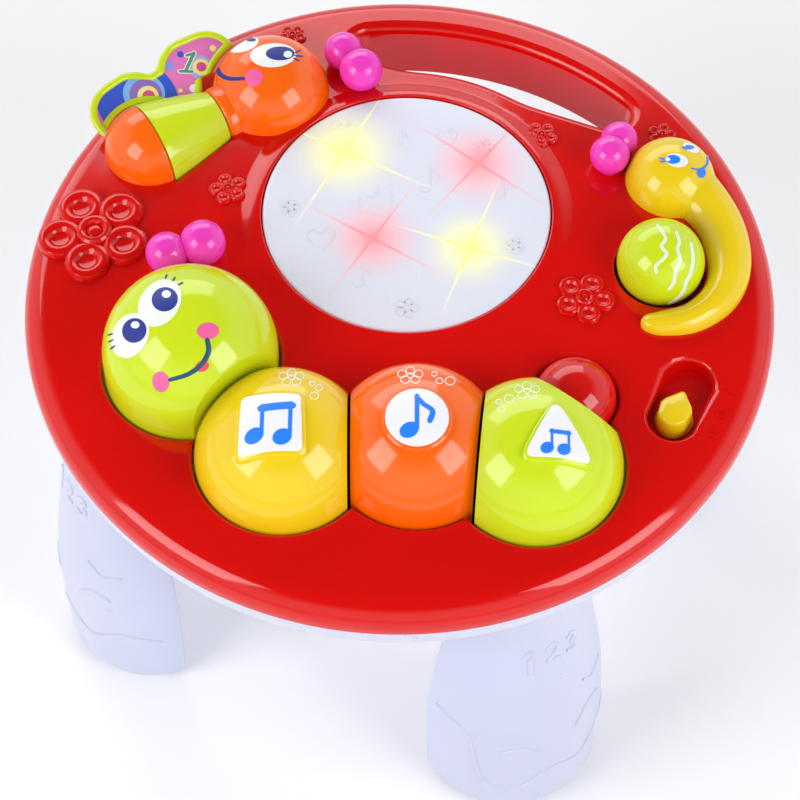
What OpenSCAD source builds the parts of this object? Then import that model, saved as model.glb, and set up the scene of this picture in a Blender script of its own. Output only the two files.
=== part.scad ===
// Musical activity table: a round crowned top with press buttons, a flip wing,
// a spinning ball and a slide switch, on four plug-in legs.
// Origin: on the floor, below the middle of the top. The player sits at -Y.

/* [Table] */
// Outer radius of the round top, which the plan sizes below follow
body_r = 160; // [157:1:170]
// Height of the underside above the floor
base_z = 165; // [150:1:185]
// Height of the seam between cover and tray above the underside
seam_h = 16; // [15:0.5:17]
// Height of the rim's widest point above the underside
rim_h = 19.3; // [18.5:0.1:21]
// Rounding radius of the rim's shoulder
rim_round = 11; // [9:0.5:12]
// Rise of the crowned top above the shoulder
crown_rise = 6.7; // [6:0.1:8]
// Wall thickness of the cover and the tray
wall = 2.4; // [2:0.1:2.6]
// How far the tray's wall stands back from the cover's rim
tray_step = 2; // [1.8:0.1:3]
// Rounding radius of the tray's lower edge
tray_round = 8; // [6:0.5:9]
// Gap between fixed pieces that seat on each other
seat_gap = 0.1; // [0.05:0.05:0.2]
// Gap round pieces that are taken off or that slide
slip_gap = 0.3; // [0.3:0.05:0.4]

/* [Carry handle] */
// Width of the bar between the opening and the rim
handle_bar = 20; // [18:0.5:24]
// Plan direction of the handle's middle
handle_angle = 70.2; // [66:0.2:72]
// Distance from the table's middle to the opening's straight edge
handle_edge = 109.5; // [108:0.5:114]
// Radius of the opening's round ends
handle_end = 9; // [8:0.5:10]
// Radius of the bulge round the drum pad
handle_bulge = 80.5; // [79:0.5:84]

/* [Legs] */
// Plan direction of the first leg
leg_angle = -66.8; // [-69:0.2:-65]
// Distance of the legs' flat backs inside the rim
leg_set = 35.8; // [35:0.2:38]
// Leg radius where it meets the underside
leg_top = 29.5; // [28:0.5:31]
// Leg radius at its widest
leg_wide = 40.7; // [39:0.1:42]
// Radius of the foot's rounded edge
foot_round = 9; // [7:0.5:10]
// Wall thickness of a leg
leg_wall = 2.4; // [2:0.1:3]
// Radius of the half-round plug on top of a leg
plug_r = 19; // [17:0.5:20]
// Height of the plug
plug_h = 19.5; // [18:0.5:20]

/* [Keys] */
// Radius of the three domed keys
key_radius = 36.8; // [36.4:0.1:37]
// Height of a dome's centre above the underside
key_cz = 30; // [29.5:0.1:31]
// Places of the three key domes
key_places = [[-47.4, -84.8], [7, -82.8], [55, -89.8]];
// Travel of the keys
key_travel = 3; // [2:0.1:3]
// Gap between neighbouring domes
key_gap = 2; // [1.6:0.1:2.4]
// Gap between a dome and its well in the cover
well_gap = 1.4; // [1:0.1:1.8]
// Rounding of the wells' edges
well_flare = 1.6; // [1:0.1:2]
// Wall thickness of domes and figures
shell = 2; // [1.6:0.1:2.4]
// Height of the raised labels on the keys
label_t = 0.8; // [0.6:0.1:1.2]
// Width of the square label, and the size of the others
label_width = 25; // [22:0.5:27]

/* [Face button] */
// Radius of the domed face button
head_radius = 36.6; // [36:0.1:37]
// Place of the face button
head_place = [-86.7, -40.6];
// Height of its centre above the underside
head_cz = 41; // [40:0.5:42]
// Travel of the head and tail buttons
face_travel = 2.5; // [2:0.1:3]

/* [Tail button] */
// Radius of the small dome behind the third key
tail_radius = 17.5; // [16.5:0.1:18]
// Place of the small dome
tail_place = [72.5, -58];
// Height of its centre above the underside
tail_cz = 31.5; // [31:0.5:33]
// Lean of the face between the small dome and the third key
tail_lean = 22; // [18:1:25]

/* [Drum pad] */
// Radius of the lit pad
pad_radius = 62; // [60:0.5:62.5]
// Place of the pad
pad_place = [3, 34.3];
// Height of the pad's face above the underside
pad_h = 36.6; // [36.4:0.1:37]
// Thickness of the pad's face
pad_t = 2; // [1.6:0.1:2.4]
// Travel of the pad
pad_travel = 2; // [1.5:0.1:2.2]
// Width of the ring round the pad
bezel_w = 3.4; // [3:0.1:4]

/* [Butterfly] */
// Plan direction of the butterfly's body
fly_angle = 31; // [30:0.5:32]
// Place of the body's narrow end
fly_place = [-80.4, 88];
// Radius of the body at its narrow end
fly_narrow = 13.4; // [13:0.1:14]
// Radius of the body at its wide end
fly_wide = 21; // [20:0.1:21.5]
// Length of the turning band
fly_length = 32; // [30:0.5:34]
// Height of the body's axis above the underside
fly_cz = 31; // [31:0.1:32]
// Distance from the narrow end to the head's centre
fly_reach = 27.3; // [27:0.1:29]
// Radius of the head
fly_ball = 26; // [25:0.1:26.3]
// Radius of the hinge pin
pin_r = 2; // [1.5:0.1:2.2]
// Running clearance of the hinge pin
pin_gap = 0.08; // [0.05:0.01:0.1]
// Thickness of the wing
wing_t = 3; // [2.5:0.1:3.5]
// Tilt of the wing at rest
wing_tilt = 20; // [18:1:24]

/* [Worm and ball] */
// Place of the worm's head
worm_place = [117.3, 53];
// Radius of the worm's head
worm_ball = 19.7; // [19:0.1:20]
// Place of the spinning ball
ball_place = [110.7, 6.5];
// Radius of the ball
ball_radius = 18.7; // [18.3:0.1:18.9]
// Height of the ball's centre above the underside
ball_cz = 38.3; // [38:0.1:39]
// Gap between the ball and its cup
cup_gap = 1.5; // [1.2:0.1:1.7]
// Radius of the ball's upright spindle
spindle_r = 3; // [2.5:0.1:3.5]

/* [Slide switch] */
// Place of the recess's near end
switch_place = [112.5, -67];
// Plan direction of the slide
switch_angle = 66.6; // [65:0.2:68]
// Distance between the recess's end centres
switch_l = 20.2; // [19:0.1:22]
// Half width of the recess
switch_r = 10.2; // [10:0.1:10.6]
// Depth of the recess's floor below the rim's shoulder
switch_depth = 7.5; // [7:0.1:8]
// Travel of the knob
switch_travel = 12; // [10:0.5:14]
// Radius of the knob's base plate
knob_r = 8; // [7:0.1:8.4]

/* [Power and sound] */
// Cell radius
cell_r = 7.1; // [6.9:0.05:7.2]
// Cell length
cell_l = 49.5; // [48:0.5:50]
// Place of the battery box
box_place = [-5, 22];
// Thickness of the battery box's walls
box_wall = 3.5; // [3.2:0.1:4]
// Place of the loudspeaker
speaker_place = [74, 6];
// Radius of the loudspeaker
speaker_r = 20; // [18:0.5:21]
// Shank radius of the casing screws
screw_r = 1.5; // [1.2:0.1:1.6]
// Thickness of the circuit boards
board_t = 1.6; // [1.2:0.1:1.8]

/* [Hidden] */
$fn = 96;
cell_count = 3;
// Radius of the top that the places and plan radii are given for
ref_r = 160;
plan = body_r / ref_r;
bar_w = plan * handle_bar;
handle_d = plan * handle_edge;
handle_end_r = plan * handle_end;
bulge_r = plan * handle_bulge;
leg_inset = plan * leg_set;
leg_top_r = plan * leg_top;
leg_wide_r = plan * leg_wide;
key_r = plan * key_radius;
key_pos = [for (p = key_places) plan * p];
label_w = plan * label_width;
head_r = plan * head_radius;
head_pos = plan * head_place;
tail_r = plan * tail_radius;
tail_pos = plan * tail_place;
pad_r = plan * pad_radius;
pad_pos = plan * pad_place;
fly_pos = plan * fly_place;
fly_small_r = plan * fly_narrow;
fly_big_r = plan * fly_wide;
fly_band = plan * fly_length;
fly_neck = plan * fly_reach;
fly_head_r = plan * fly_ball;
worm_pos = plan * worm_place;
worm_head_r = plan * worm_ball;
ball_pos = plan * ball_place;
ball_r = plan * ball_radius;
switch_pos = plan * switch_place;
box_pos = plan * box_place;
speaker_pos = plan * speaker_place;
rim_z = base_z + rim_h;
seam_z = base_z + seam_h;
flat_r = body_r - rim_round;
crown_bands = 7;
shoulder_z = rim_z + rim_round;
floor_z = base_z + wall;
tray_r = body_r - tray_step;
bar_r = body_r - bar_w;
leg_rho = body_r - leg_inset;
socket_wall = 2;
key_z = base_z + key_cz;
head_z = base_z + head_cz;
tail_z = base_z + tail_cz;
// Lower edge of every button, clear of the leg sockets at full travel
skirt_z = base_z + plug_h + 2 * slip_gap + socket_wall + key_travel + 0.6;
flange_t = 1.6;
flange_w = 2.2;
pad_z = base_z + pad_h;
fly_z = base_z + fly_cz;
ball_z = base_z + ball_cz;
// Boards, cells and springs
box_top = floor_z + 2 * cell_r + 3 * slip_gap + board_t;
main_board_z = box_top;
key_board_z = box_top - 2;
dome_h = 2.4;
key_stop = key_board_z + board_t + dome_h + slip_gap;
reflector_z = main_board_z + board_t;
spring_seat = 14;
column_r = 5;
// Casing screws: plan direction and distance inside the rim
screw_inset = 14;
screws = [[-8, screw_inset], [70, bar_w / 2], [135, screw_inset], [172, screw_inset],
    [-130, screw_inset], [-95, screw_inset]];
column_top = seam_z - 3;
head_h = 2.4;
head_rr = 3;
fly_axis = [cos(fly_angle), sin(fly_angle)];
fly_head = fly_pos + fly_neck * fly_axis;
key_head_mid = (key_pos[0] + head_pos) / 2;

// ---------- helpers ----------

// Height of the crowned top at a distance r from the middle
function crown_at(r) = shoulder_z + crown_rise * (1 - pow(min(r, flat_r) / flat_r, 2));
// Height of the crowned top at a plan point
function top_at(p) = crown_at(norm(p));
// Half profile of the top's skin, moved outwards by d
function skin(d) = concat(
    [for (i = [0:crown_bands]) [flat_r * i / crown_bands, crown_at(flat_r * i / crown_bands) + d]],
    [for (a = [75:-15:0]) [flat_r + (rim_round + d) * cos(a), rim_z + (rim_round + d) * sin(a)]]);
// Point t along a Bezier curve of four points
function bezier(p, t) = pow(1 - t, 3) * p[0] + 3 * t * pow(1 - t, 2) * p[1]
    + 3 * t * t * (1 - t) * p[2] + pow(t, 3) * p[3];
function unit(v) = v / norm(v);
// Plan angle from point a to point b
function heading(a, b) = atan2(b[1] - a[1], b[0] - a[0]);

// Everything below the top's skin moved out by d, down to height z0
module under_skin(d, z0) {
    rotate_extrude() polygon(concat([[0, z0]], skin(d), [[body_r + d, z0]]));
}

// Half space on the far side of a plane through plan point p, facing angle a
module beyond(p, a, lean = 0, z = 0) {
    translate([p[0], p[1], z]) rotate([0, 0, a]) rotate([0, lean, 0])
        translate([0, -300, -300]) cube([600, 600, 600]);
}

// Ring of material round a plan point
module tube(r_out, r_in, z0, z1) {
    difference() {
        translate([0, 0, z0]) cylinder(r = r_out, h = z1 - z0);
        translate([0, 0, z0 - 1]) cylinder(r = r_in, h = z1 - z0 + 2);
    }
}

// Tube swept along points p with radii r
module sweep(p, r, sides) {
    n = len(p);
    function tangent(i) = unit(p[min(i + 1, n - 1)] - p[max(i - 1, 0)]);
    function side(i) = unit(cross(tangent(i), [0.02, 0.01, 1]));
    rings = [for (i = [0:n - 1]) let (s = side(i), u = cross(s, tangent(i)))
        for (k = [0:sides - 1]) p[i] + r[i] * (cos(360 * k / sides) * s + sin(360 * k / sides) * u)];
    walls = [for (i = [0:n - 2], k = [0:sides - 1]) let (a = i * sides + k,
        b = i * sides + (k + 1) % sides) each [[a, b, b + sides], [a, b + sides, a + sides]]];
    caps = [for (k = [1:sides - 2]) each [[0, k + 1, k],
        [(n - 1) * sides, (n - 1) * sides + k, (n - 1) * sides + k + 1]]];
    polyhedron(points = rings, faces = concat(walls, caps));
}

// Coil spring from height z0 to z1
module coil(r, wire, z0, z1, turns) {
    steps = turns * 10;
    sweep([for (i = [0:steps]) [r * cos(36 * i), r * sin(36 * i),
        z0 + wire + 0.15 + (z1 - z0 - 2 * wire - 0.3) * i / steps]],
        [for (i = [0:steps]) wire], 6);
}

// Dome on a straight skirt, hollow if shrink is given
module dome(r, cz, z0) {
    intersection() {
        translate([0, 0, cz]) sphere(r = r);
        translate([0, 0, cz]) cylinder(r = r + 1, h = r + 1);
    }
    translate([0, 0, z0]) cylinder(r = r, h = cz - z0);
}

// Edge cutter that eases the rim of a well of radius r at plan point p
module flare(p, r) {
    slope = atan(2 * crown_rise * norm(p) / pow(flat_r, 2));
    sag = crown_rise * pow(r / flat_r, 2);
    translate([p[0], p[1], top_at(p) - sag - 2 * well_flare]) rotate([0, 0, atan2(p[1], p[0])])
        rotate([0, slope, 0]) cylinder(r1 = r - well_flare, r2 = r + 4 * well_flare, h = 5 * well_flare);
}

// ---------- shared cuts ----------

// Opening of the carry handle, grown by o, between heights z0 and z1
module handle_prism(o, z0, z1) {
    spread = acos((handle_d + handle_end_r) / (bar_r - handle_end_r));
    translate([0, 0, z0]) rotate([0, 0, handle_angle]) linear_extrude(z1 - z0) union() {
        for (s = [-1, 1]) rotate(s * spread) translate([bar_r - handle_end_r, 0])
            circle(r = handle_end_r + o);
        difference() {
            intersection() {
                circle(r = bar_r + o);
                translate([handle_d - o, -200]) square([200, 400]);
                rotate(spread) translate([-300, -300]) square([600, 300]);
                rotate(-spread) translate([-300, 0]) square([600, 300]);
            }
            rotate(-handle_angle) translate(pad_pos) circle(r = bulge_r - o);
        }
    }
}

// Half-round prism for a leg's plug or socket, grown by o, flat side at x = 0
module half_round(r, o, z0, z1) {
    intersection() {
        translate([0, 0, z0]) cylinder(r = r + o, h = z1 - z0);
        translate([-o, -100, z0]) cube([200, 200, z1 - z0]);
    }
}

module at_leg(i) { rotate([0, 0, leg_angle + 90 * i]) translate([leg_rho, 0, 0]) children(); }
module at_screws() {
    for (s = screws) rotate([0, 0, s[0]]) translate([body_r - s[1], 0, 0]) children();
}

// Places a piece made along +X on the butterfly's axis, 0 at the narrow end
module on_fly() {
    translate([fly_pos[0], fly_pos[1], fly_z]) rotate([0, 0, fly_angle]) children();
}
// Turning band of the butterfly's body, grown by o
module band(o, gap) {
    on_fly() translate([-fly_band - gap, 0, 0]) rotate([0, 90, 0])
        cylinder(r1 = fly_big_r + o, r2 = fly_small_r + o, h = fly_band + 2 * gap);
}
module pin_bore(o) {
    on_fly() translate([-fly_band - 10 - o, 0, 0]) rotate([0, 90, 0])
        cylinder(r = pin_r + o, h = fly_band + 20 + 2 * o);
}

// Recess of the slide switch, grown by o
module switch_slot(r, l0, l1, z0, z1) {
    translate([switch_pos[0], switch_pos[1], z0]) rotate([0, 0, switch_angle]) {
        for (x = [l0, l1]) translate([x, 0, 0]) cylinder(r = r, h = z1 - z0);
        translate([l0, -r, 0]) cube([l1 - l0, 2 * r, z1 - z0]);
    }
}
switch_floor = shoulder_z - switch_depth;
knob_start = 3.5;

// Planes between neighbouring buttons: plan point and direction
cut_12 = [(key_pos[0] + key_pos[1]) / 2 - plan * [0.3, 0], 0];
cut_23 = [(key_pos[1] + key_pos[2]) / 2 + plan * [2, 3.3], -5.7];
cut_h1 = [key_head_mid, heading(key_pos[0], head_pos)];
cut_3t = [tail_pos + plan * [-2, -5], 52.5];
cut_3t_z = base_z + 36;
// Middle of the room inside the small dome, where its plunger and spring stand
tail_dir = [cos(cut_3t[1]), sin(cut_3t[1])];
tail_near = (cut_3t[0] - tail_pos) * tail_dir + key_gap / 2 + shell
    + (cut_3t_z - skirt_z) * tan(tail_lean);
tail_press = tail_pos + (tail_near + tail_r - shell) / 2 * tail_dir;
rod_r = 3.5;
coil_r = 6;
tail_coil_r = 5.1;
coil_wire = 0.5;

// Keeps the side of a button before the plane, shifted by d
module trim(cut, d, flip = 0, lean = 0) {
    a = cut[1] + (flip ? 180 : 0);
    p = cut[0] - d * [cos(a), sin(a)];
    beyond(p, a, flip ? -lean : lean, cut_3t_z);
}

module key_solid(i, grow, floor_at) {
    difference() {
        translate([key_pos[i][0], key_pos[i][1], 0]) {
            dome(key_r + grow, key_z, floor_at);
            if (grow == 0) translate([0, 0, skirt_z]) cylinder(r = key_r + flange_w, h = flange_t);
        }
        d = key_gap / 2 - grow;
        if (i == 0) {
            trim(cut_12, d);
            trim(cut_h1, d);
        }
        if (i == 1) {
            trim(cut_12, d, 1);
            trim(cut_23, d);
        }
        if (i == 2) {
            trim(cut_23, d, 1);
            trim(cut_3t, d, 0, -tail_lean);
        }
    }
}

// Guide rod and spring seat inside a button that travels by d, over a coil of radius r
module plunger(p, d, r) {
    intersection() {
        translate([p[0], p[1], 0]) {
            translate([0, 0, key_stop + d]) cylinder(r = rod_r, h = 2 * key_r);
            translate([0, 0, key_board_z + board_t + spring_seat]) cylinder(r = r + shell - 1, h = shell);
        }
        children();
    }
}

module key(i) {
    difference() {
        key_solid(i, 0, skirt_z);
        key_solid(i, -shell, skirt_z - 1);
    }
    plunger(key_pos[i], key_travel, coil_r + 1) key_solid(i, -shell / 2, skirt_z - 10);
}

// ---------- casing ----------

// Relief flowers: place and radius as shares of the top's radius, lift as a share of the
// flower's radius, and turn
flowers = [[[-0.8156, 0.1606], 0.1563, 0.128, 20], [[0.4875, -0.0644], 0.0813, 0.123, 0],
    [[-0.4625, 0.2938], 0.0531, 0.141, 30], [[0.3875, 0.4781], 0.0469, 0.16, 0],
    [[-0.3, 0.8438], 0.0406, 0.169, 15], [[0.7188, 0.4938], 0.0406, 0.169, 40]];
petal_at = 0.68;
petal_r = 0.32;
heart_r = 0.26;

// Low petals round a raised middle, in relief on the top
module flower(p, r, share, turn) {
    lift = share * r;
    z = top_at(p);
    slope = atan(2 * crown_rise * norm(p) / pow(flat_r, 2));
    translate([p[0], p[1], z]) rotate([0, 0, atan2(p[1], p[0])]) rotate([0, slope, 0]) {
        for (k = [0:4]) rotate([0, 0, 72 * k + turn]) translate([r * petal_at, 0, 0])
            petal(r * petal_r, lift);
        petal(r * heart_r, lift * 1.1);
    }
}
// Low cap of radius r and height lift, sunk 1 mm into the skin
module petal(r, lift) {
    ball = (r * r + lift * lift) / (2 * lift);
    intersection() {
        translate([0, 0, lift - ball]) sphere(r = ball);
        translate([0, 0, -1]) cylinder(r = 2 * r, h = lift + 2);
    }
}

well_h = 2 * key_r;
module button_wells(o, z0) {
    for (i = [0:2]) translate([key_pos[i][0], key_pos[i][1], z0]) cylinder(r = key_r + o, h = well_h);
    translate([head_pos[0], head_pos[1], z0]) cylinder(r = head_r + o, h = well_h);
    translate([tail_pos[0], tail_pos[1], z0]) cylinder(r = tail_r + o, h = well_h);
}

cup_r = ball_r + cup_gap;
cup_floor = ball_z - ball_r - 2;
pad_hole_r = pad_r + 0.6;
// Height of the ring round the pad above its face
ring_lift = 0.4;

module top_cover() color("red") {
    difference() {
        union() {
            difference() {
                under_skin(0, seam_z);
                under_skin(-wall, seam_z - 1);
            }
            // wall of the carry handle, which passes through the tray
            intersection() {
                handle_prism(wall, base_z, shoulder_z + 20);
                under_skin(-wall / 2, base_z);
            }
            // ring round the drum pad
            translate([pad_pos[0], pad_pos[1], 0])
                tube(pad_hole_r + bezel_w, pad_hole_r - 1, pad_z - 6, pad_z + ring_lift);
            // cup of the ball
            intersection() {
                translate([ball_pos[0], ball_pos[1], cup_floor - shell])
                    cylinder(r = cup_r + shell, h = 40);
                under_skin(-wall / 2, base_z);
            }
            // trough of the turning band
            intersection() {
                band(well_gap + shell, shell + slip_gap);
                under_skin(-wall / 2, base_z);
            }
            // recess of the slide switch
            intersection() {
                switch_slot(switch_r + shell, 0, switch_l, switch_floor - shell, shoulder_z + 9);
                under_skin(-wall / 2, base_z);
            }
            // screw bosses
            intersection() {
                at_screws() translate([0, 0, column_top]) cylinder(r = column_r - 1, h = 40);
                under_skin(-wall / 2, base_z);
            }
            for (f = flowers) flower(body_r * f[0], body_r * f[1], f[2], f[3]);
        }
        handle_prism(0, base_z - 1, shoulder_z + 20);
        button_wells(well_gap, seam_z - 5);
        for (i = [0:2]) flare(key_pos[i], key_r + well_gap);
        flare(head_pos, head_r + well_gap);
        flare(tail_pos, tail_r + well_gap);
        translate([pad_pos[0], pad_pos[1], seam_z]) cylinder(r = pad_hole_r, h = 40);
        translate([ball_pos[0], ball_pos[1], cup_floor]) cylinder(r = cup_r, h = 60);
        flare(ball_pos, cup_r);
        translate([ball_pos[0], ball_pos[1], cup_floor - 5]) cylinder(r = 2 + seat_gap, h = 10);
        band(well_gap, slip_gap);
        pin_bore(pin_gap);
        switch_slot(switch_r, 0, switch_l, switch_floor, shoulder_z + 20);
        switch_slot(2 + slip_gap, knob_start, knob_start + switch_travel,
            switch_floor - 10, switch_floor + 1);
        at_screws() translate([0, 0, column_top - 1]) cylinder(r = screw_r + seat_gap, h = 12);
        for (p = figure_holes) translate([p[0], p[1], seam_z]) cylinder(r = screw_r + seat_gap, h = 25);
    }
}

// Tray's half profile, moved inwards by d
function tray(d) = concat([[0, base_z + d]],
    [for (a = [-90:15:0]) [tray_r - tray_round + (tray_round - d) * cos(a),
        base_z + tray_round + (tray_round - d) * sin(a)]]);

box_x = cell_l + 6;
box_y = cell_count * (2 * cell_r + 0.6);
// Ledge that the battery door rests on, and its wall beyond the door
ledge = 2;
box_rim = box_wall - ledge;
door_l = box_x + 8 * ledge;
door_w = box_y + 2 * ledge;
door_x = -box_x / 2 - ledge;
door_screw_x = box_x / 2 + 8.5;

grille_r = 0.75 * speaker_r;
grille_step = 0.3 * speaker_r;
grille_slot = 2.4;

module base_shell() color("white") {
    difference() {
        union() {
            difference() {
                rotate_extrude() polygon(concat(tray(0), [[tray_r, seam_z], [0, seam_z]]));
                rotate_extrude() polygon(concat(tray(wall), [[tray_r - wall, seam_z + 1],
                    [0, seam_z + 1]]));
            }
            // lip inside the cover's skirt
            tube(body_r - wall - slip_gap, body_r - wall - 3, seam_z - 4, seam_z + 3);
            at_screws() translate([0, 0, base_z + 1]) cylinder(r = column_r, h = column_top - base_z - 1);
            for (i = [0:3]) at_leg(i)
                half_round(plug_r, slip_gap + socket_wall, base_z + 1,
                    base_z + plug_h + slip_gap + socket_wall);
            // battery box with its screw boss
            translate([box_pos[0], box_pos[1], 0]) difference() {
                translate([door_x - box_rim, -door_w / 2 - box_rim, base_z + 1])
                    cube([door_l + 2 * box_rim, door_w + 2 * box_rim, box_top - base_z - 1]);
                translate([box_x / 2 + ledge, -box_y / 2, floor_z + 2])
                    cube([door_l - box_x - ledge, box_y, box_top - base_z]);
            }
            translate([box_pos[0] + door_screw_x, box_pos[1], floor_z])
                cylinder(r = 4, h = 12);
            // posts under the key board
            for (p = board_posts) translate([p[0], p[1], base_z + 1])
                cylinder(r = 3, h = key_board_z - base_z - 1);
            // rim round the loudspeaker
            translate([speaker_pos[0], speaker_pos[1], 0])
                tube(speaker_r + 2, speaker_r + slip_gap, base_z + 1, floor_z + 5);
        }
        handle_prism(wall + slip_gap, base_z - 1, seam_z + 10);
        for (i = [0:3]) at_leg(i)
            half_round(plug_r, slip_gap, base_z - 1, base_z + plug_h + slip_gap);
        at_screws() {
            translate([0, 0, base_z - 1]) cylinder(r = head_rr + slip_gap, h = 7 + head_h);
            translate([0, 0, base_z]) cylinder(r = screw_r + seat_gap, h = 40);
        }
        translate([box_pos[0], box_pos[1], 0]) {
            translate([-box_x / 2, -box_y / 2, base_z - 1])
                cube([box_x, box_y, box_top - board_t - base_z + 1]);
            translate([door_x - slip_gap, -door_w / 2 - slip_gap, base_z - 1])
                cube([door_l + 2 * slip_gap, door_w + 2 * slip_gap, wall + 1 + slip_gap / 2]);
            translate([door_screw_x, 0, floor_z]) cylinder(r = screw_r + seat_gap, h = 9);
        }
        // sound slots
        for (k = [-2:2]) let (y = k * grille_step, x = sqrt(grille_r * grille_r - y * y))
            translate([speaker_pos[0] - x, speaker_pos[1] + y - grille_slot / 2, base_z - 1])
                cube([2 * x, grille_slot, wall + 2]);
    }
}

module casing_screw(z, l) {
    translate([0, 0, z]) cylinder(r = head_rr, h = head_h);
    translate([0, 0, z]) cylinder(r = screw_r, h = l);
}
module casing_screws() color("silver")
    at_screws() casing_screw(base_z + 6 - seat_gap, 14);

// ---------- legs ----------

leg_curve = [[leg_top_r, base_z], [leg_top_r + 1, base_z * 0.73],
    [leg_wide_r, base_z * 0.58], [leg_wide_r, base_z * 0.27]];
// Leg's half profile, moved inwards by d
function leg_profile(d) = concat(
    [for (t = [0:0.1:1]) bezier(leg_curve, t) - [d, 0]],
    [for (a = [0:-15:-90]) [leg_wide_r - 0.7 - foot_round + (foot_round - d) * cos(a),
        foot_round + (foot_round - d) * sin(a)]]);

module leg(i) color("white") at_leg(i) {
    difference() {
        union() {
            intersection() {
                rotate_extrude() polygon(concat([[0, base_z]], leg_profile(0), [[0, 0]]));
                translate([0, -100, 0]) cube([200, 200, base_z]);
            }
            half_round(plug_r, 0, base_z - 2, base_z + plug_h);
        }
        intersection() {
            rotate_extrude() polygon(concat([[0, base_z - leg_wall]],
                [for (p = leg_profile(leg_wall)) [p[0], min(p[1], base_z - leg_wall)]],
                [[0, leg_wall]]));
            translate([leg_wall, -100, 0]) cube([200, 200, base_z]);
        }
        intersection() {
            translate([0, 0, base_z - leg_wall - 1]) cylinder(r = plug_r - leg_wall, h = 60);
            translate([leg_wall, -100, 0]) cube([200, 200, 400]);
        }
    }
}

// ---------- drum pad ----------

module light_pad() color("white") translate([pad_pos[0], pad_pos[1], 0]) {
    translate([0, 0, pad_z - pad_t]) cylinder(r = pad_r, h = pad_t);
    tube(pad_r, pad_r - shell, pad_z - 8, pad_z - 1);
    translate([0, 0, reflector_z + dome_h + slip_gap + pad_travel])
        cylinder(r = rod_r, h = pad_z - 1 - reflector_z - dome_h - slip_gap - pad_travel);
}

pad_led_r = 2.5;
yellow_spots = [pad_pos + pad_r * [-0.435, 0.447], pad_pos + pad_r * [0.435, -0.424]];
red_spots = [pad_pos + pad_r * [0.532, 0.285], pad_pos + pad_r * [-0.226, -0.311]];
spring_ring = pad_r - 12;
main_size = pad_r * [1.42, 1.065];

module light_reflector() color("white") difference() {
    translate([pad_pos[0], pad_pos[1], 0]) {
        translate([0, 0, reflector_z]) cylinder(r = pad_r - shell - 1.5, h = 1.2);
        tube(pad_r - shell - 1.5, pad_r - shell - 3, reflector_z, pad_z - pad_t - pad_travel - 1);
    }
    for (p = concat(yellow_spots, red_spots)) translate([p[0], p[1], reflector_z - 1])
        cylinder(r = pad_led_r + slip_gap, h = 4);
    translate([pad_pos[0], pad_pos[1], reflector_z - 1]) cylinder(r = 5, h = 4);
}

module main_board() color("green")
    translate([pad_pos[0] - main_size[0] / 2, pad_pos[1] - main_size[1] / 2 - 2, main_board_z])
        cube([main_size[0], main_size[1], board_t]);

module led(p) translate([p[0], p[1], reflector_z]) {
    cylinder(r = pad_led_r, h = 4);
    translate([0, 0, 4]) sphere(r = pad_led_r);
}
module yellow_leds() color("yellow") for (p = yellow_spots) led(p);
module red_leds() color("red") for (p = red_spots) led(p);

module pad_springs() color("silver")
    for (a = [30, 150, 270]) translate([pad_pos[0] + spring_ring * cos(a),
        pad_pos[1] + spring_ring * sin(a), 0])
        coil(3, 0.4, reflector_z + 1.2, pad_z - pad_t, 5);

// ---------- keys ----------

module key_1() color("gold") key(0);
module key_2() color("orange") key(1);
module key_3() color("yellowgreen") key(2);

// Raised label that follows a key's dome, between two radii
module label(i) color("white") intersection() {
    translate([key_pos[i][0], key_pos[i][1], key_z]) difference() {
        sphere(r = key_r + label_t);
        sphere(r = key_r + 0.02);
    }
    translate([0, 0, key_z]) children();
}
// Label places: the square's corner, the circle's centre and the triangle's corner
label_at = [key_pos[0] + key_r * [-0.451, -0.495], key_pos[1] + key_r * [0, -0.141],
    key_pos[2] + key_r * [-0.136, -0.413]];
label_h = 2 * key_r;
module key_label_1() label(0) translate(label_at[0]) cube([label_w, label_w, label_h]);
module key_label_2() label(1) translate(label_at[1]) cylinder(r = label_w / 2, h = label_h);
module key_label_3() label(2) translate(label_at[2]) linear_extrude(label_h)
    polygon([[0, 0], [label_w + 1, 0], [label_w / 2 + 1, 0.88 * label_w], [label_w / 2 - 1, 0.88 * label_w]]);

module key_coil(p, r = coil_r) color("silver") translate([p[0], p[1], 0])
    coil(r, coil_wire, key_board_z + board_t, key_board_z + board_t + spring_seat, 5);
module key_spring_1() key_coil(key_pos[0]);
module key_spring_2() key_coil(key_pos[1]);
module key_spring_3() key_coil(key_pos[2]);
module head_spring() key_coil(head_pos);
module tail_spring() key_coil(tail_press, tail_coil_r);

press_points = concat(key_pos, [head_pos, tail_press]);
key_mids = [(key_pos[0] + key_pos[1]) / 2, (key_pos[1] + key_pos[2]) / 2];
board_posts = concat([key_head_mid], key_mids, [for (p = key_mids) p + [0, 0.65 * key_r]]);
board_margin = 10;

module key_board() color("green") translate([0, 0, key_board_z]) linear_extrude(board_t)
    hull() for (p = press_points) translate(p) circle(r = board_margin);
module rubber_dome(p, z) translate([p[0], p[1], z]) cylinder(r1 = 4.5, r2 = 3.5, h = dome_h);
module switch_domes() color("gray") {
    for (p = press_points) rubber_dome(p, key_board_z + board_t);
    rubber_dome(pad_pos, reflector_z);
}

// ---------- face and tail buttons ----------

module head_solid(grow, floor_at) {
    difference() {
        translate([head_pos[0], head_pos[1], 0]) {
            dome(head_r + grow, head_z, floor_at);
            if (grow == 0) translate([0, 0, skirt_z]) cylinder(r = head_r + flange_w, h = flange_t);
        }
        trim(cut_h1, key_gap / 2 - grow, 1);
    }
}
module head_button() color("yellowgreen") {
    difference() {
        head_solid(0, skirt_z);
        head_solid(-shell, skirt_z - 1);
    }
    plunger(head_pos, face_travel, coil_r + 1) head_solid(-shell / 2, skirt_z - 10);
}

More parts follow.
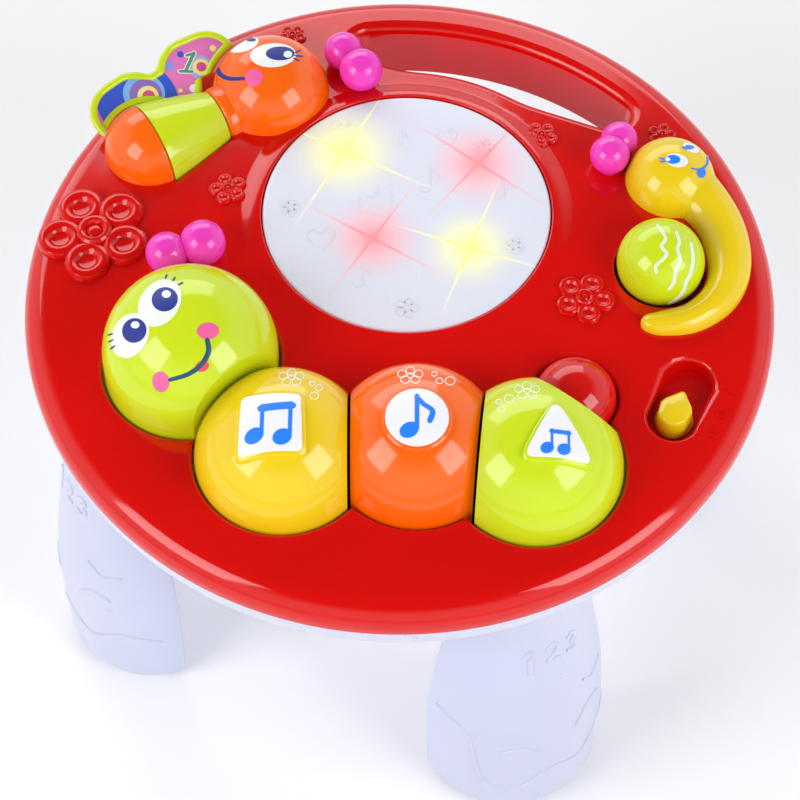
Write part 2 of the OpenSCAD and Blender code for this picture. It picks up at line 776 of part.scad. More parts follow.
module tail_solid(grow, floor_at) {
    difference() {
        translate([tail_pos[0], tail_pos[1], 0]) {
            dome(tail_r + grow, tail_z, floor_at);
            if (grow == 0) translate([0, 0, skirt_z]) cylinder(r = tail_r + flange_w, h = flange_t);
        }
        trim(cut_3t, key_gap / 2 - grow, 1, -tail_lean);
    }
}
module tail_button() color("red") {
    difference() {
        tail_solid(0, skirt_z);
        tail_solid(-shell, skirt_z - 1);
    }
    plunger(tail_press, face_travel, tail_coil_r) tail_solid(-shell / 2, skirt_z - 10);
}

// Two joined balls that stand on the top
module ball_pair(p, q, rp, rq) color("hotpink") difference() {
    for (b = [[p, rp], [q, rq]])
        translate([b[0][0], b[0][1], top_at(b[0]) + 0.9 * b[1]]) sphere(r = b[1]);
    under_skin(seat_gap, base_z - 40);
}
// The pair of balls in front of a figure's head: p is the head, r its radius
module antennae(p, r, near, far) ball_pair(p + r * [near[0], near[1]], p + r * [far[0], far[1]],
    r * near[2], r * far[2]);
module head_antennae() antennae(head_pos, head_r, [0.093, 1.459, 0.2664], [-0.3224, 1.3415, 0.246]);
module butterfly_antennae() antennae(fly_head, fly_head_r, [1.5385, 0.19, 0.3654],
    [1.231, 0.6515, 0.327]);
module worm_antennae() antennae(worm_pos, worm_head_r, [-1.335, 0.406, 0.4365],
    [-1.1066, 0.863, 0.406]);

// ---------- butterfly ----------

figure_holes = [fly_head, worm_pos];

module figure_boss(p, top) {
    translate([p[0], p[1], 0]) cylinder(r = 4, h = top);
}

// Round end of the tail: a ball of radius r beyond the band's wide end and a gap
module tail_ball(r, from) {
    on_fly() intersection() {
        translate([-fly_band, 0, 0]) sphere(r = r);
        translate([-fly_band - from, 0, 0]) rotate([0, -90, 0]) cylinder(r = r + 2, h = r + 2);
    }
}
module butterfly_tail() color("orange") difference() {
    tail_ball(fly_big_r, slip_gap);
    tail_ball(fly_big_r - shell, 10.5);
    pin_bore(pin_gap);
    under_skin(seat_gap, base_z - 40);
}

module butterfly_head() color("orange") difference() {
    union() {
        difference() {
            on_fly() {
                translate([fly_neck, 0, 0]) sphere(r = fly_head_r);
                translate([slip_gap, 0, 0]) rotate([0, 90, 0])
                    cylinder(r = fly_small_r, h = fly_neck / 2);
            }
            on_fly() difference() {
                translate([fly_neck, 0, 0]) sphere(r = fly_head_r - shell);
                translate([-20, -60, -60]) cube([32, 120, 120]);
            }
        }
        intersection() {
            figure_boss(fly_head, 400);
            on_fly() translate([fly_neck, 0, 0]) sphere(r = fly_head_r - shell / 2);
        }
    }
    translate([fly_head[0], fly_head[1], fly_z - 1]) cylinder(r = screw_r + seat_gap, h = 12);
    pin_bore(pin_gap);
    under_skin(seat_gap, base_z - 40);
    // clear of the ring round the drum pad
    translate([pad_pos[0], pad_pos[1], base_z])
        cylinder(r = pad_hole_r + bezel_w + seat_gap, h = pad_h + ring_lift + seat_gap);
}

// Lobes of the wing: centre and radius as shares of the band's length
wing_lobes = [[-1.031, 0.766, 0.4375], [-0.844, 0.781, 0.453], [0, 0.844, 0.5], [0.266, 0.891, 0.453]];
// Flat outline of the wing: x along the body, y away from it
module wing_outline() difference() {
    union() {
        for (c = wing_lobes) translate(fly_band * [c[0], c[1]]) circle(r = fly_band * c[2]);
        translate([1 - fly_band, fly_small_r - shell]) square([fly_band - 2, fly_big_r - fly_small_r]);
    }
    translate([fly_neck, 0]) circle(r = fly_head_r + 1.2);
    translate([0, -1]) square([fly_neck, fly_small_r + 2]);
    // clear of the fixed tail while the wing turns
    intersection() {
        translate([-fly_band, 0]) circle(r = fly_big_r + 0.8);
        translate([-2.2 * fly_band, -1]) square([1.2 * fly_band + 0.5, 2 * fly_band]);
    }
}
module wing_page() color("yellowgreen") difference() {
    union() {
        on_fly() translate([-fly_band, 0, 0]) rotate([0, 90, 0])
            cylinder(r1 = fly_big_r, r2 = fly_small_r, h = fly_band);
        on_fly() rotate([wing_tilt, 0, 0]) translate([0, 0, -wing_t / 2])
            linear_extrude(wing_t) wing_outline();
    }
    pin_bore(pin_gap);
    on_fly() translate([-fly_band + shell, 0, 0]) rotate([0, 90, 0]) difference() {
        cylinder(r1 = fly_big_r - 2 * shell, r2 = fly_small_r - 2 * shell, h = fly_band - 2 * shell);
        translate([0, 0, -1]) cylinder(r = pin_r + 2, h = fly_band);
    }
}
module wing_pin() color("silver")
    on_fly() translate([-fly_band - 10, 0, 0]) rotate([0, 90, 0])
        cylinder(r = pin_r, h = fly_band + 20);

// ---------- worm and ball ----------

// Middle line of the worm as shares of the top's radius, and its radii as shares of the head's
worm_route = [for (p = [[0.7313, 0.3313], [0.8, 0.2813], [0.8563, 0.1938], [0.8781, 0.1],
    [0.8719, 0.0125], [0.8344, -0.0625], [0.7656, -0.1188], [0.6875, -0.1375], [0.6688, -0.1375]])
    body_r * p];
worm_radii = [for (s = [0.609, 0.548, 0.508, 0.477, 0.426, 0.355, 0.284, 0.2335, 0.041]) worm_head_r * s];
// Point t along the route, passing smoothly through each of its points
function along(list, t) = let (i = min(floor(t), len(list) - 2), f = t - i,
    a = list[max(i - 1, 0)], b = list[i], c = list[i + 1], d = list[min(i + 2, len(list) - 1)])
    b + 0.5 * f * ((c - a) + f * ((2 * a - 5 * b + 4 * c - d) + f * (3 * (b - c) + d - a)));

module worm_body() color("gold") difference() {
    union() {
        translate([worm_pos[0], worm_pos[1], top_at(worm_pos)]) sphere(r = worm_head_r);
        sweep([for (t = [0:0.25:8]) let (p = along(worm_route, t)) [p[0], p[1], top_at(p) + 0.5]],
            [for (t = [0:0.25:8]) along(worm_radii, t)], 24);
    }
    difference() {
        translate([worm_pos[0], worm_pos[1], top_at(worm_pos)]) sphere(r = worm_head_r - 2 * shell);
        figure_boss(worm_pos, 400);
    }
    translate([worm_pos[0], worm_pos[1], top_at(worm_pos) - 5]) cylinder(r = screw_r + seat_gap, h = 14);
    under_skin(seat_gap, base_z - 40);
}

module figure_screws() color("silver") for (p = figure_holes)
    translate([p[0], p[1], top_at(p) - wall - head_h - 2 * seat_gap
        - head_rr * 2 * crown_rise * norm(p) / pow(flat_r, 2)]) {
        cylinder(r = head_rr, h = head_h);
        cylinder(r = screw_r, h = 11);
    }

module spin_ball() color("yellowgreen") translate([ball_pos[0], ball_pos[1], 0]) difference() {
    translate([0, 0, ball_z]) sphere(r = ball_r);
    translate([0, 0, ball_z - ball_r - 1]) cylinder(r = ball_r, h = 1 + 0.5);
    difference() {
        translate([0, 0, ball_z]) sphere(r = ball_r - shell);
        translate([0, 0, ball_z - ball_r]) cylinder(r = spindle_r + 2, h = 2 * ball_r);
    }
    translate([0, 0, ball_z - ball_r - 1]) cylinder(r = spindle_r + pin_gap, h = ball_r + 6);
}
module ball_spindle() color("silver") translate([ball_pos[0], ball_pos[1], 0]) {
    translate([0, 0, cup_floor - shell]) cylinder(r = 2, h = shell + 1);
    translate([0, 0, cup_floor]) cylinder(r = spindle_r + 2, h = 2.2);
    translate([0, 0, cup_floor]) cylinder(r = spindle_r, h = ball_r + 6);
}

// ---------- slide switch ----------

module switch_knob() color("gold")
    translate([switch_pos[0], switch_pos[1], 0]) rotate([0, 0, switch_angle])
    translate([knob_start, 0, 0]) {
        translate([0, 0, switch_floor + slip_gap]) cylinder(r = knob_r, h = 1.6);
        translate([0, 0, switch_floor + slip_gap + 1]) cylinder(r1 = 6, r2 = 5, h = 5.5);
        translate([0, 0, switch_floor + slip_gap + 1]) linear_extrude(5) polygon([[0, -4], [9, 0], [0, 4]]);
        translate([0, 0, switch_floor - shell - 2.5]) cylinder(r = 2, h = shell + 3.5);
    }
module slide_switch() color("dimgray")
    translate([switch_pos[0], switch_pos[1], 0]) rotate([0, 0, switch_angle])
    difference() {
        translate([knob_start - 6, -4, switch_floor - shell - 7.5]) cube([switch_travel + 12, 8, 7.4]);
        translate([knob_start - 2.4, -2.4, switch_floor - shell - 3]) cube([switch_travel + 4.8, 4.8, 4]);
    }

// ---------- power and sound ----------

module speaker_frame() color("gray") translate([speaker_pos[0], speaker_pos[1], 0])
    rotate_extrude() polygon([[speaker_r - 4, floor_z], [speaker_r, floor_z],
        [speaker_r, floor_z + 1.5], [speaker_r - 3, floor_z + 1.5], [speaker_r / 2, floor_z + 8],
        [speaker_r / 2 - 1.5, floor_z + 8], [speaker_r / 2 - 1.5, floor_z + 6.6],
        [speaker_r - 4.6, floor_z + 1]]);
module speaker_cone() color("black") translate([speaker_pos[0], speaker_pos[1], 0])
    rotate_extrude() polygon([[speaker_r - 4.8, floor_z + 0.3], [speaker_r - 5.4, floor_z + 0.3],
        [0.3 * speaker_r, floor_z + 4.8], [0, floor_z + 3.8], [0, floor_z + 4.6],
        [0.3 * speaker_r, floor_z + 5.8]]);
module speaker_magnet() color("dimgray") translate([speaker_pos[0], speaker_pos[1], floor_z + 8])
    cylinder(r = 0.55 * speaker_r, h = 0.25 * speaker_r);

module batteries() color("silver") for (k = [0:cell_count - 1])
    translate([box_pos[0] - cell_l / 2, box_pos[1] - box_y / 2 + (k + 0.5) * box_y / cell_count,
        floor_z + slip_gap + cell_r]) rotate([0, 90, 0]) {
        cylinder(r = cell_r, h = cell_l);
        cylinder(r = 2.7, h = cell_l + 1);
    }
module battery_contacts() color("silver") for (k = [0:cell_count - 1], s = [-1, 1])
    translate([box_pos[0] + s * (box_x / 2 - 0.4), box_pos[1] - box_y / 2
        + (k + 0.5) * box_y / cell_count, floor_z + 1]) {
        translate([-0.3, -5, 0]) cube([0.6, 10, 12]);
        translate([s * -0.1, 0, cell_r - 0.7]) rotate([0, -90 * s, 0]) cylinder(r1 = 4, r2 = 2.5, h = 1.4);
    }
module battery_door() color("white") translate([box_pos[0], box_pos[1], 0]) difference() {
    translate([door_x, -door_w / 2, base_z]) cube([door_l, door_w, wall]);
    translate([door_screw_x, 0, base_z - 1]) cylinder(r = screw_r + seat_gap, h = 9);
    translate([door_screw_x, 0, base_z - 1]) cylinder(r = head_rr + slip_gap, h = 2.2);
}
module door_screw() color("silver")
    translate([box_pos[0] + door_screw_x, box_pos[1], base_z]) {
        translate([0, 0, 0.1]) cylinder(r = head_rr, h = 1);
        translate([0, 0, 0.1]) cylinder(r = screw_r, h = 9);
    }

top_cover();
base_shell();
casing_screws();
light_pad();
light_reflector();
main_board();
yellow_leds();
red_leds();
speaker_frame();
speaker_cone();
speaker_magnet();
key_1();
key_2();
key_3();
key_label_1();
key_label_2();
key_label_3();
key_spring_1();
key_spring_2();
key_spring_3();
head_spring();
tail_spring();
pad_springs();
switch_domes();
key_board();
head_button();
head_antennae();
tail_button();
butterfly_tail();
butterfly_head();
butterfly_antennae();
wing_page();
wing_pin();
worm_body();
worm_antennae();
spin_ball();
ball_spindle();
switch_knob();
slide_switch();
battery_door();
door_screw();
batteries();
battery_contacts();
figure_screws();
leg(0);  // leg_1
leg(1);  // leg_2
leg(2);  // leg_3
leg(3);  // leg_4
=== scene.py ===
"""Looks of the musical activity table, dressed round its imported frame.

Sizes are millimetres in the table's own frame: Z is 0 on the floor and the player sits at -Y.
A finished piece is brought to metres as its last step.
"""
import logging
import math
from collections.abc import Callable, Iterable
from dataclasses import dataclass, field
from enum import Enum

import bmesh
import bpy
from mathutils import Matrix, Vector


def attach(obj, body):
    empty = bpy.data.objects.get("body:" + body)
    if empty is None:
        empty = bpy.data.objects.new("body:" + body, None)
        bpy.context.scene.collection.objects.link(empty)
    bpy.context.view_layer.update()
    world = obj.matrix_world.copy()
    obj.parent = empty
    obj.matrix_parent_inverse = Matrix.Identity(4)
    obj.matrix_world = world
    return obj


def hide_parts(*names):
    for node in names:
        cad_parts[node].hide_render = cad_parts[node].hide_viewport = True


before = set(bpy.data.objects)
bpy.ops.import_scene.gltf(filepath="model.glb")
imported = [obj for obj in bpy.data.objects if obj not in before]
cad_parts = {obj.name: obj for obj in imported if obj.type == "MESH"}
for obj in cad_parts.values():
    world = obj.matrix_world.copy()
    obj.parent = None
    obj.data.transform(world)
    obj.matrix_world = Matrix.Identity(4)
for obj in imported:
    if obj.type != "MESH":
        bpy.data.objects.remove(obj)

LOG = logging.getLogger("activity_table")
MM = 0.001
Point = tuple[float, float]
Loop = list[Vector]
Place = Callable[[float, float, float], Vector]
Outline = Callable[[float], list[Point]]


class Join(Enum):
    """How a tool solid meets the solid it works on."""

    ADD = "UNION"
    CUT = "DIFFERENCE"
    KEEP = "INTERSECT"


# ---------------------------------------------------------------- shared shader groups


def shader_group(name: str, inputs: dict[str, tuple[str, object]],
                 outputs: dict[str, str]) -> bpy.types.NodeTree:
    """Starts a shader node group with named sockets.

    Args:
        name: Name of the group.
        inputs: Socket name to its kind and first value.
        outputs: Socket name to its kind.
    Returns:
        The group, with its input and output nodes in place.
    """
    group = bpy.data.node_groups.new(name, "ShaderNodeTree")
    for label, (kind, value) in inputs.items():
        socket = group.interface.new_socket(label, in_out="INPUT", socket_type=f"NodeSocket{kind}")
        if value is not None:
            socket.default_value = value
    for label, kind in outputs.items():
        group.interface.new_socket(label, in_out="OUTPUT", socket_type=f"NodeSocket{kind}")
    group.nodes.new("NodeGroupInput").name = "In"
    group.nodes.new("NodeGroupOutput").name = "Out"
    return group


class Wiring:
    """Adds nodes to a tree and links them by name."""

    def __init__(self, tree: bpy.types.NodeTree) -> None:
        """Starts on a node tree.

        Args:
            tree: The node tree to build in.
        """
        self.tree = tree

    def add(self, kind: str, settings: dict | None = None, feeds: dict | None = None) -> bpy.types.Node:
        """Adds one node.

        Args:
            kind: Node type without its "ShaderNode" prefix.
            settings: Attributes to set on the node.
            feeds: Input name or number to a value, or to the output socket that feeds it.
        Returns:
            The new node.
        """
        node = self.tree.nodes.new("ShaderNode" + kind)
        for key, value in (settings or {}).items():
            setattr(node, key, value)
        for key, value in (feeds or {}).items():
            if isinstance(value, bpy.types.NodeSocket):
                self.tree.links.new(value, node.inputs[key])
            else:
                node.inputs[key].default_value = value
        return node

    def math(self, operation: str, first: object, second: object = 0.0,
             clamp: bool = False) -> bpy.types.NodeSocket:
        """Adds one Math node and returns its output."""
        node = self.add("Math", {"operation": operation, "use_clamp": clamp}, {0: first, 1: second})
        return node.outputs[0]


def moulded_tone() -> bpy.types.NodeTree:
    """Slow changes of tone, as pigment flows in a moulding, and a trace of dust on faces that look up.

    Returns:
        The group, from a colour to the changed colour.
    """
    group = shader_group("Moulded tone", {
        "Vector": ("Vector", None), "Colour": ("Color", (1, 1, 1, 1)), "Spread": ("Float", 0.06),
        "Dust": ("Float", 0.02)}, {"Colour": "Color"})
    wiring = Wiring(group)
    given = group.nodes["In"].outputs
    cloud = wiring.add("TexNoise", None, {"Vector": given["Vector"], "Scale": 22.0, "Detail": 3.0})
    swing = wiring.math("MULTIPLY", wiring.math("SUBTRACT", cloud.outputs["Fac"], 0.5), given["Spread"])
    tone = wiring.add("HueSaturation", None,
                      {"Color": given["Colour"], "Value": wiring.math("ADD", swing, 1.0)})
    normal = wiring.add("NewGeometry")
    height = wiring.add("SeparateXYZ", None, {0: normal.outputs["Normal"]})
    speck = wiring.add("TexNoise", None, {"Vector": given["Vector"], "Scale": 900.0, "Detail": 2.0})
    film = wiring.math("MULTIPLY", wiring.math("MULTIPLY", height.outputs["Z"], given["Dust"], True),
                       speck.outputs["Fac"], True)
    mix = wiring.add("Mix", {"data_type": "RGBA"}, {0: film, 6: tone.outputs[0], 7: (0.9, 0.88, 0.85, 1)})
    group.links.new(mix.outputs[2], group.nodes["Out"].inputs["Colour"])
    return group


def handling() -> bpy.types.NodeTree:
    """Polish that varies with handling, faint scuffs, and the fine texture of the mould.

    Returns:
        The group, which gives the roughness and the height of the texture.
    """
    group = shader_group("Handling", {
        "Vector": ("Vector", None), "Gloss": ("Float", 0.1), "Scuffs": ("Float", 0.05),
        "Texture": ("Float", 0.1)}, {"Roughness": "Float", "Height": "Float"})
    wiring = Wiring(group)
    given = group.nodes["In"].outputs
    smear = wiring.add("TexNoise", None, {"Vector": given["Vector"], "Scale": 38.0, "Detail": 4.0,
                                          "Distortion": 1.2})
    grain = wiring.add("TexNoise", None, {"Vector": given["Vector"], "Scale": 1500.0, "Detail": 2.0})
    stretch = wiring.add("Mapping", None, {"Vector": given["Vector"], "Scale": (260.0, 30.0, 60.0),
                                           "Rotation": (0.3, 0.2, 0.7)})
    scratch = wiring.add("TexNoise", None, {"Vector": stretch.outputs[0], "Scale": 6.0, "Detail": 1.0})
    sharp = wiring.add("MapRange", None, {0: scratch.outputs["Fac"], 1: 0.68, 2: 0.74, 3: 0.0, 4: 1.0})
    scuff = wiring.math("MULTIPLY", sharp.outputs[0], given["Scuffs"])
    dull = wiring.math("MULTIPLY", wiring.math("SUBTRACT", smear.outputs["Fac"], 0.5), 0.12)
    rough = wiring.math("ADD", wiring.math("ADD", given["Gloss"], dull), scuff, True)
    group.links.new(rough, group.nodes["Out"].inputs["Roughness"])
    group.links.new(wiring.math("MULTIPLY", grain.outputs["Fac"], given["Texture"]),
                    group.nodes["Out"].inputs["Height"])
    return group


def lamp_glow() -> bpy.types.NodeTree:
    """Light of one lamp through the pad: a soft spot with crossed streaks.

    Returns:
        The group, which gives the strength of the spot and of the rays.
    """
    group = shader_group("Lamp glow", {
        "Vector": ("Vector", None), "Place": ("Vector", None), "Turn": ("Float", 0.0),
        "Reach": ("Float", 0.02), "Streak": ("Float", 0.03)}, {"Spot": "Float", "Rays": "Float"})
    wiring = Wiring(group)
    given = group.nodes["In"].outputs
    away = wiring.add("VectorMath", {"operation": "SUBTRACT"}, {0: given["Vector"], 1: given["Place"]})
    swung = wiring.add("VectorRotate", {"rotation_type": "Z_AXIS"},
                       {"Vector": away.outputs[0], "Angle": given["Turn"]})
    flat = wiring.add("SeparateXYZ", None, {0: swung.outputs[0]})
    squares = [wiring.math("MULTIPLY", flat.outputs[label], flat.outputs[label]) for label in ("X", "Y")]
    radius = wiring.math("SQRT", wiring.math("ADD", *squares))
    fade = wiring.math("SUBTRACT", 1.0, wiring.math("DIVIDE", radius, given["Reach"]), True)
    group.links.new(wiring.math("POWER", fade, 1.6), group.nodes["Out"].inputs["Spot"])
    rays = []
    for across, along in (("X", "Y"), ("Y", "X")):
        width = wiring.math("MULTIPLY", wiring.math("ABSOLUTE", flat.outputs[across]), 1300.0)
        length = wiring.math("DIVIDE", wiring.math("ABSOLUTE", flat.outputs[along]), given["Streak"])
        rays.append(wiring.math("MULTIPLY", wiring.math("SUBTRACT", 1.0, width, True),
                                wiring.math("SUBTRACT", 1.0, length, True)))
    group.links.new(wiring.math("ADD", rays[0], rays[1], True), group.nodes["Out"].inputs["Rays"])
    return group


GROUPS = {"tone": moulded_tone(), "handling": handling(), "glow": lamp_glow()}


# ---------------------------------------------------------------- finishes


def linear(rgb: tuple[float, float, float]) -> tuple[float, float, float, float]:
    """Turns a display colour of 0 to 255 into the linear colour that shaders use.

    Args:
        rgb: The display colour.
    Returns:
        The linear colour, opaque.
    """
    def channel(value: float) -> float:
        """One channel."""
        share = value / 255
        return share / 12.92 if share <= 0.04045 else ((share + 0.055) / 1.055) ** 2.4
    return (*(channel(v) for v in rgb), 1.0)


@dataclass(frozen=True)
class Moulding:
    """A moulded plastic, rubber, board or metal finish."""

    name: str
    colour: tuple[float, float, float]
    gloss: float = 0.12
    coat: float = 0.0
    scuffs: float = 0.06
    texture: float = 0.03
    spread: float = 0.05
    dust: float = 0.012
    metal: float = 0.0
    glow: float = 0.0
    soft: float = 0.0

    def surface(self) -> tuple[bpy.types.Material, Wiring, bpy.types.Node]:
        """Builds the material.

        Returns:
            The material, its wiring and its Principled shader.
        """
        material = bpy.data.materials.new(self.name)
        material.use_nodes = True
        tree = material.node_tree
        shader = tree.nodes["Principled BSDF"]
        wiring = Wiring(tree)
        place = wiring.add("TexCoord").outputs["Object"]
        tone = wiring.add("Group", {"node_tree": GROUPS["tone"]}, {
            "Vector": place, "Colour": linear(self.colour), "Spread": self.spread, "Dust": self.dust})
        tree.links.new(tone.outputs["Colour"], shader.inputs["Base Color"])
        worn = wiring.add("Group", {"node_tree": GROUPS["handling"]}, {
            "Vector": place, "Gloss": self.gloss, "Scuffs": self.scuffs, "Texture": self.texture})
        tree.links.new(worn.outputs["Roughness"], shader.inputs["Roughness"])
        bump = wiring.add("Bump", None,
                          {"Height": worn.outputs["Height"], "Strength": 0.25, "Distance": 0.0004})
        tree.links.new(bump.outputs[0], shader.inputs["Normal"])
        shader.inputs["Metallic"].default_value = self.metal
        shader.inputs["Coat Weight"].default_value = self.coat
        shader.inputs["Coat Roughness"].default_value = 0.04
        shader.inputs["IOR"].default_value = 1.5
        if self.soft:
            shader.inputs["Subsurface Weight"].default_value = self.soft
            shader.inputs["Subsurface Radius"].default_value = (0.004, 0.004, 0.004)
            shader.inputs["Subsurface Scale"].default_value = 0.5
        if self.glow:
            shader.inputs["Emission Color"].default_value = linear(self.colour)
            shader.inputs["Emission Strength"].default_value = self.glow
        return material, wiring, shader

    def material(self) -> bpy.types.Material:
        """The finish's one material, made when first asked for."""
        return bpy.data.materials.get(self.name) or self.surface()[0]


COVER_RED = Moulding("cover red", (214, 6, 2), gloss=0.09, dust=0.004)
BUTTON_RED = Moulding("button red", (212, 8, 3), gloss=0.08)
TRAY_WHITE = Moulding("tray white", (210, 212, 230), gloss=0.28, soft=0.05)
LEG_WHITE = Moulding("leg white", (200, 204, 226), gloss=0.3, soft=0.05)
LIME = Moulding("lime plastic", (202, 224, 26), gloss=0.1)
YELLOW = Moulding("yellow plastic", (236, 204, 20), gloss=0.1)
ORANGE = Moulding("orange plastic", (248, 102, 0), gloss=0.1)
PINK = Moulding("pink plastic", (240, 62, 192), gloss=0.14, soft=0.06)
LABEL_WHITE = Moulding("label white", (240, 240, 250), gloss=0.3)
INK_BLUE = Moulding("ink bright blue", (35, 130, 245), gloss=0.3, scuffs=0.1)
INK_NAVY = Moulding("ink navy", (0, 34, 138), gloss=0.5, scuffs=0.1)
INK_TEAL = Moulding("ink teal", (0, 74, 112), gloss=0.5, scuffs=0.1)
INK_WHITE = Moulding("ink white", (238, 243, 238), gloss=0.3, scuffs=0.1)
INK_PINK = Moulding("ink pink", (240, 100, 160), gloss=0.3, scuffs=0.1)
INK_ROSE = Moulding("ink rose", (228, 70, 84), gloss=0.3, scuffs=0.1)
INK_GREEN = Moulding("ink green", (84, 150, 118), gloss=0.3, scuffs=0.1)
INK_PALE = Moulding("ink pale lime", (222, 240, 220), gloss=0.3, scuffs=0.1)
STEEL = Moulding("bright steel", (190, 190, 194), gloss=0.24, metal=1.0, spread=0.1)
DARK_STEEL = Moulding("dark steel", (92, 94, 98), gloss=0.38, metal=1.0, spread=0.12)
BOARD_GREEN = Moulding("board green", (24, 96, 52), gloss=0.36, spread=0.16)
LENS_YELLOW = Moulding("yellow lamp", (255, 214, 50), gloss=0.08, glow=1.2)
LENS_RED = Moulding("red lamp", (255, 46, 36), gloss=0.08, glow=1.2)
CONE_PAPER = Moulding("cone paper", (44, 42, 42), gloss=0.8, texture=0.6, spread=0.2)
RUBBER = Moulding("dome rubber", (92, 92, 96), gloss=0.62, texture=0.3)
SWITCH_BLACK = Moulding("switch black", (38, 38, 42), gloss=0.4)
CELL_JACKET = Moulding("cell jacket", (62, 66, 84), gloss=0.24, coat=0.4)
REFLECTOR = Moulding("reflector white", (236, 236, 240), gloss=0.42)
PALE_FLOOR = Moulding("pale floor", (250, 250, 250), gloss=0.7, spread=0.01, dust=0.0, scuffs=0.0)


@dataclass(frozen=True)
class LitPad(Moulding):
    """Milky pad that the lamps below shine through."""

    lamps: tuple = ()

    def surface(self) -> tuple[bpy.types.Material, Wiring, bpy.types.Node]:
        """Builds the milky plastic with a glow over each lamp, and paints each lamp's light, a soft spot with
        crossed streaks, into its base colour as painted light.

        Returns:
            The material, its wiring and its Principled shader.
        """
        material, wiring, shader = super().surface()
        tree = material.node_tree
        place = wiring.add("TexCoord").outputs["Object"]
        light, rays = None, None
        for spot, turn, reach, colour in self.lamps:
            glow = wiring.add("Group", {"node_tree": GROUPS["glow"]}, {
                "Vector": place, "Place": (spot[0] * MM, spot[1] * MM, 0.0), "Turn": math.radians(turn),
                "Reach": reach * MM, "Streak": reach * 1.7 * MM})
            level = wiring.math("ADD", glow.outputs["Spot"], glow.outputs["Rays"], True)
            tint = wiring.add("Mix", {"data_type": "RGBA"}, {0: level, 6: (0, 0, 0, 1), 7: linear(colour)})
            # Painted light: the lamp's spot and streaks tint the pad's colour towards the lamp's colour.
            cover = wiring.add("Mix", {"data_type": "RGBA"}, {0: level, 6: (1, 1, 1, 1), 7: linear(colour)})
            if light is None:
                light, rays = tint.outputs[2], cover.outputs[2]
                continue
            light = wiring.add("Mix", {"data_type": "RGBA", "blend_type": "ADD"},
                               {0: 1.0, 6: light, 7: tint.outputs[2]}).outputs[2]
            rays = wiring.add("Mix", {"data_type": "RGBA", "blend_type": "MULTIPLY"},
                              {0: 1.0, 6: rays, 7: cover.outputs[2]}).outputs[2]
        base = shader.inputs["Base Color"].links[0].from_socket
        # The lamps' spots and crossed streaks are painted into the base colour as painted light, on top of
        # the glow.
        lamp_light_painted_base = wiring.add("Mix", {"data_type": "RGBA", "blend_type": "MULTIPLY"},
                            {0: 0.85, 6: base, 7: rays})
        tree.links.new(lamp_light_painted_base.outputs[2], shader.inputs["Base Color"])
        tree.links.new(light, shader.inputs["Emission Color"])
        shader.inputs["Emission Strength"].default_value = 0.6
        return material, wiring, shader


@dataclass(frozen=True)
class WingPrint(Moulding):
    """Printed picture on the wing: round spots on a ground, in the wing's own plane."""

    origin: Point = (0.0, 0.0)
    height: float = 0.0
    heading: float = 0.0
    tilt: float = 0.0
    spots: tuple = ()

    def surface(self) -> tuple[bpy.types.Material, Wiring, bpy.types.Node]:
        """Builds the ground colour and lays each spot over it.

        Returns:
            The material, its wiring and its Principled shader.
        """
        material, wiring, shader = super().surface()
        place = wiring.add("TexCoord").outputs["Object"]
        near = wiring.add("VectorMath", {"operation": "SUBTRACT"}, {
            0: place, 1: (self.origin[0] * MM, self.origin[1] * MM, self.height * MM)})
        swung = wiring.add("VectorRotate", {"rotation_type": "Z_AXIS", "invert": True},
                           {"Vector": near.outputs[0], "Angle": math.radians(self.heading)})
        level = wiring.add("VectorRotate", {"rotation_type": "X_AXIS", "invert": True},
                           {"Vector": swung.outputs[0], "Angle": math.radians(self.tilt)})
        flat = wiring.add("VectorMath", {"operation": "MULTIPLY"},
                          {0: level.outputs[0], 1: (1000.0, 1000.0, 0.0)})
        colour = shader.inputs["Base Color"].links[0].from_socket
        for (along, across), radius, tint in self.spots:
            reach = wiring.add("VectorMath", {"operation": "DISTANCE"},
                               {0: flat.outputs[0], 1: (along, across, 0.0)})
            depth = wiring.math("SUBTRACT", radius, reach.outputs["Value"])
            inside = wiring.math("MULTIPLY", depth, 12.0, True)
            laid = wiring.add("Mix", {"data_type": "RGBA"}, {0: inside, 6: colour, 7: linear(tint)})
            colour = laid.outputs[2]
        material.node_tree.links.new(colour, shader.inputs["Base Color"])
        return material, wiring, shader


# ---------------------------------------------------------------- mesh making


def turned(profile: list[Point], segments: int = 96, closed: bool = False) -> bmesh.types.BMesh:
    """Spins a half profile of (radius, height) points round the Z axis.

    Args:
        profile: The points, from one end to the other.
        segments: Steps of the full turn.
        closed: Whether the last point joins the first, for a ring.
    Returns:
        The closed shape.
    """
    form = bmesh.new()
    verts = [form.verts.new((radius, 0, height)) for radius, height in profile]
    pairs = list(zip(verts, verts[1:])) + ([(verts[-1], verts[0])] if closed else [])
    edges = [form.edges.new(pair) for pair in pairs]
    bmesh.ops.spin(form, geom=verts + edges, cent=(0, 0, 0), axis=(0, 0, 1), dvec=(0, 0, 0),
                   angle=math.tau, steps=segments, use_merge=True, use_duplicate=False)
    bmesh.ops.remove_doubles(form, verts=form.verts, dist=1e-4)
    bmesh.ops.recalc_face_normals(form, faces=form.faces)
    return form


def lofted(loops: list[Loop]) -> bmesh.types.BMesh:
    """Joins loops of equal length into a closed shape with a cap on each end.

    Args:
        loops: The loops, in order.
    Returns:
        The closed shape.
    """
    form = bmesh.new()
    ring = [form.verts.new(place) for place in loops[0]]
    edges = [form.edges.new(pair) for pair in zip(ring, ring[1:] + ring[:1])]
    bmesh.ops.contextual_create(form, geom=edges)
    for loop in loops[1:]:
        made = bmesh.ops.extrude_edge_only(form, edges=edges)["geom"]
        fresh = {item for item in made if isinstance(item, bmesh.types.BMVert)}
        ring = [next(e.other_vert(v) for e in v.link_edges if e.other_vert(v) in fresh) for v in ring]
        for vert, place in zip(ring, loop):
            vert.co = place
        edges = [form.edges.get(pair) for pair in zip(ring, ring[1:] + ring[:1])]
    bmesh.ops.contextual_create(form, geom=edges)
    bmesh.ops.recalc_face_normals(form, faces=form.faces)
    return form


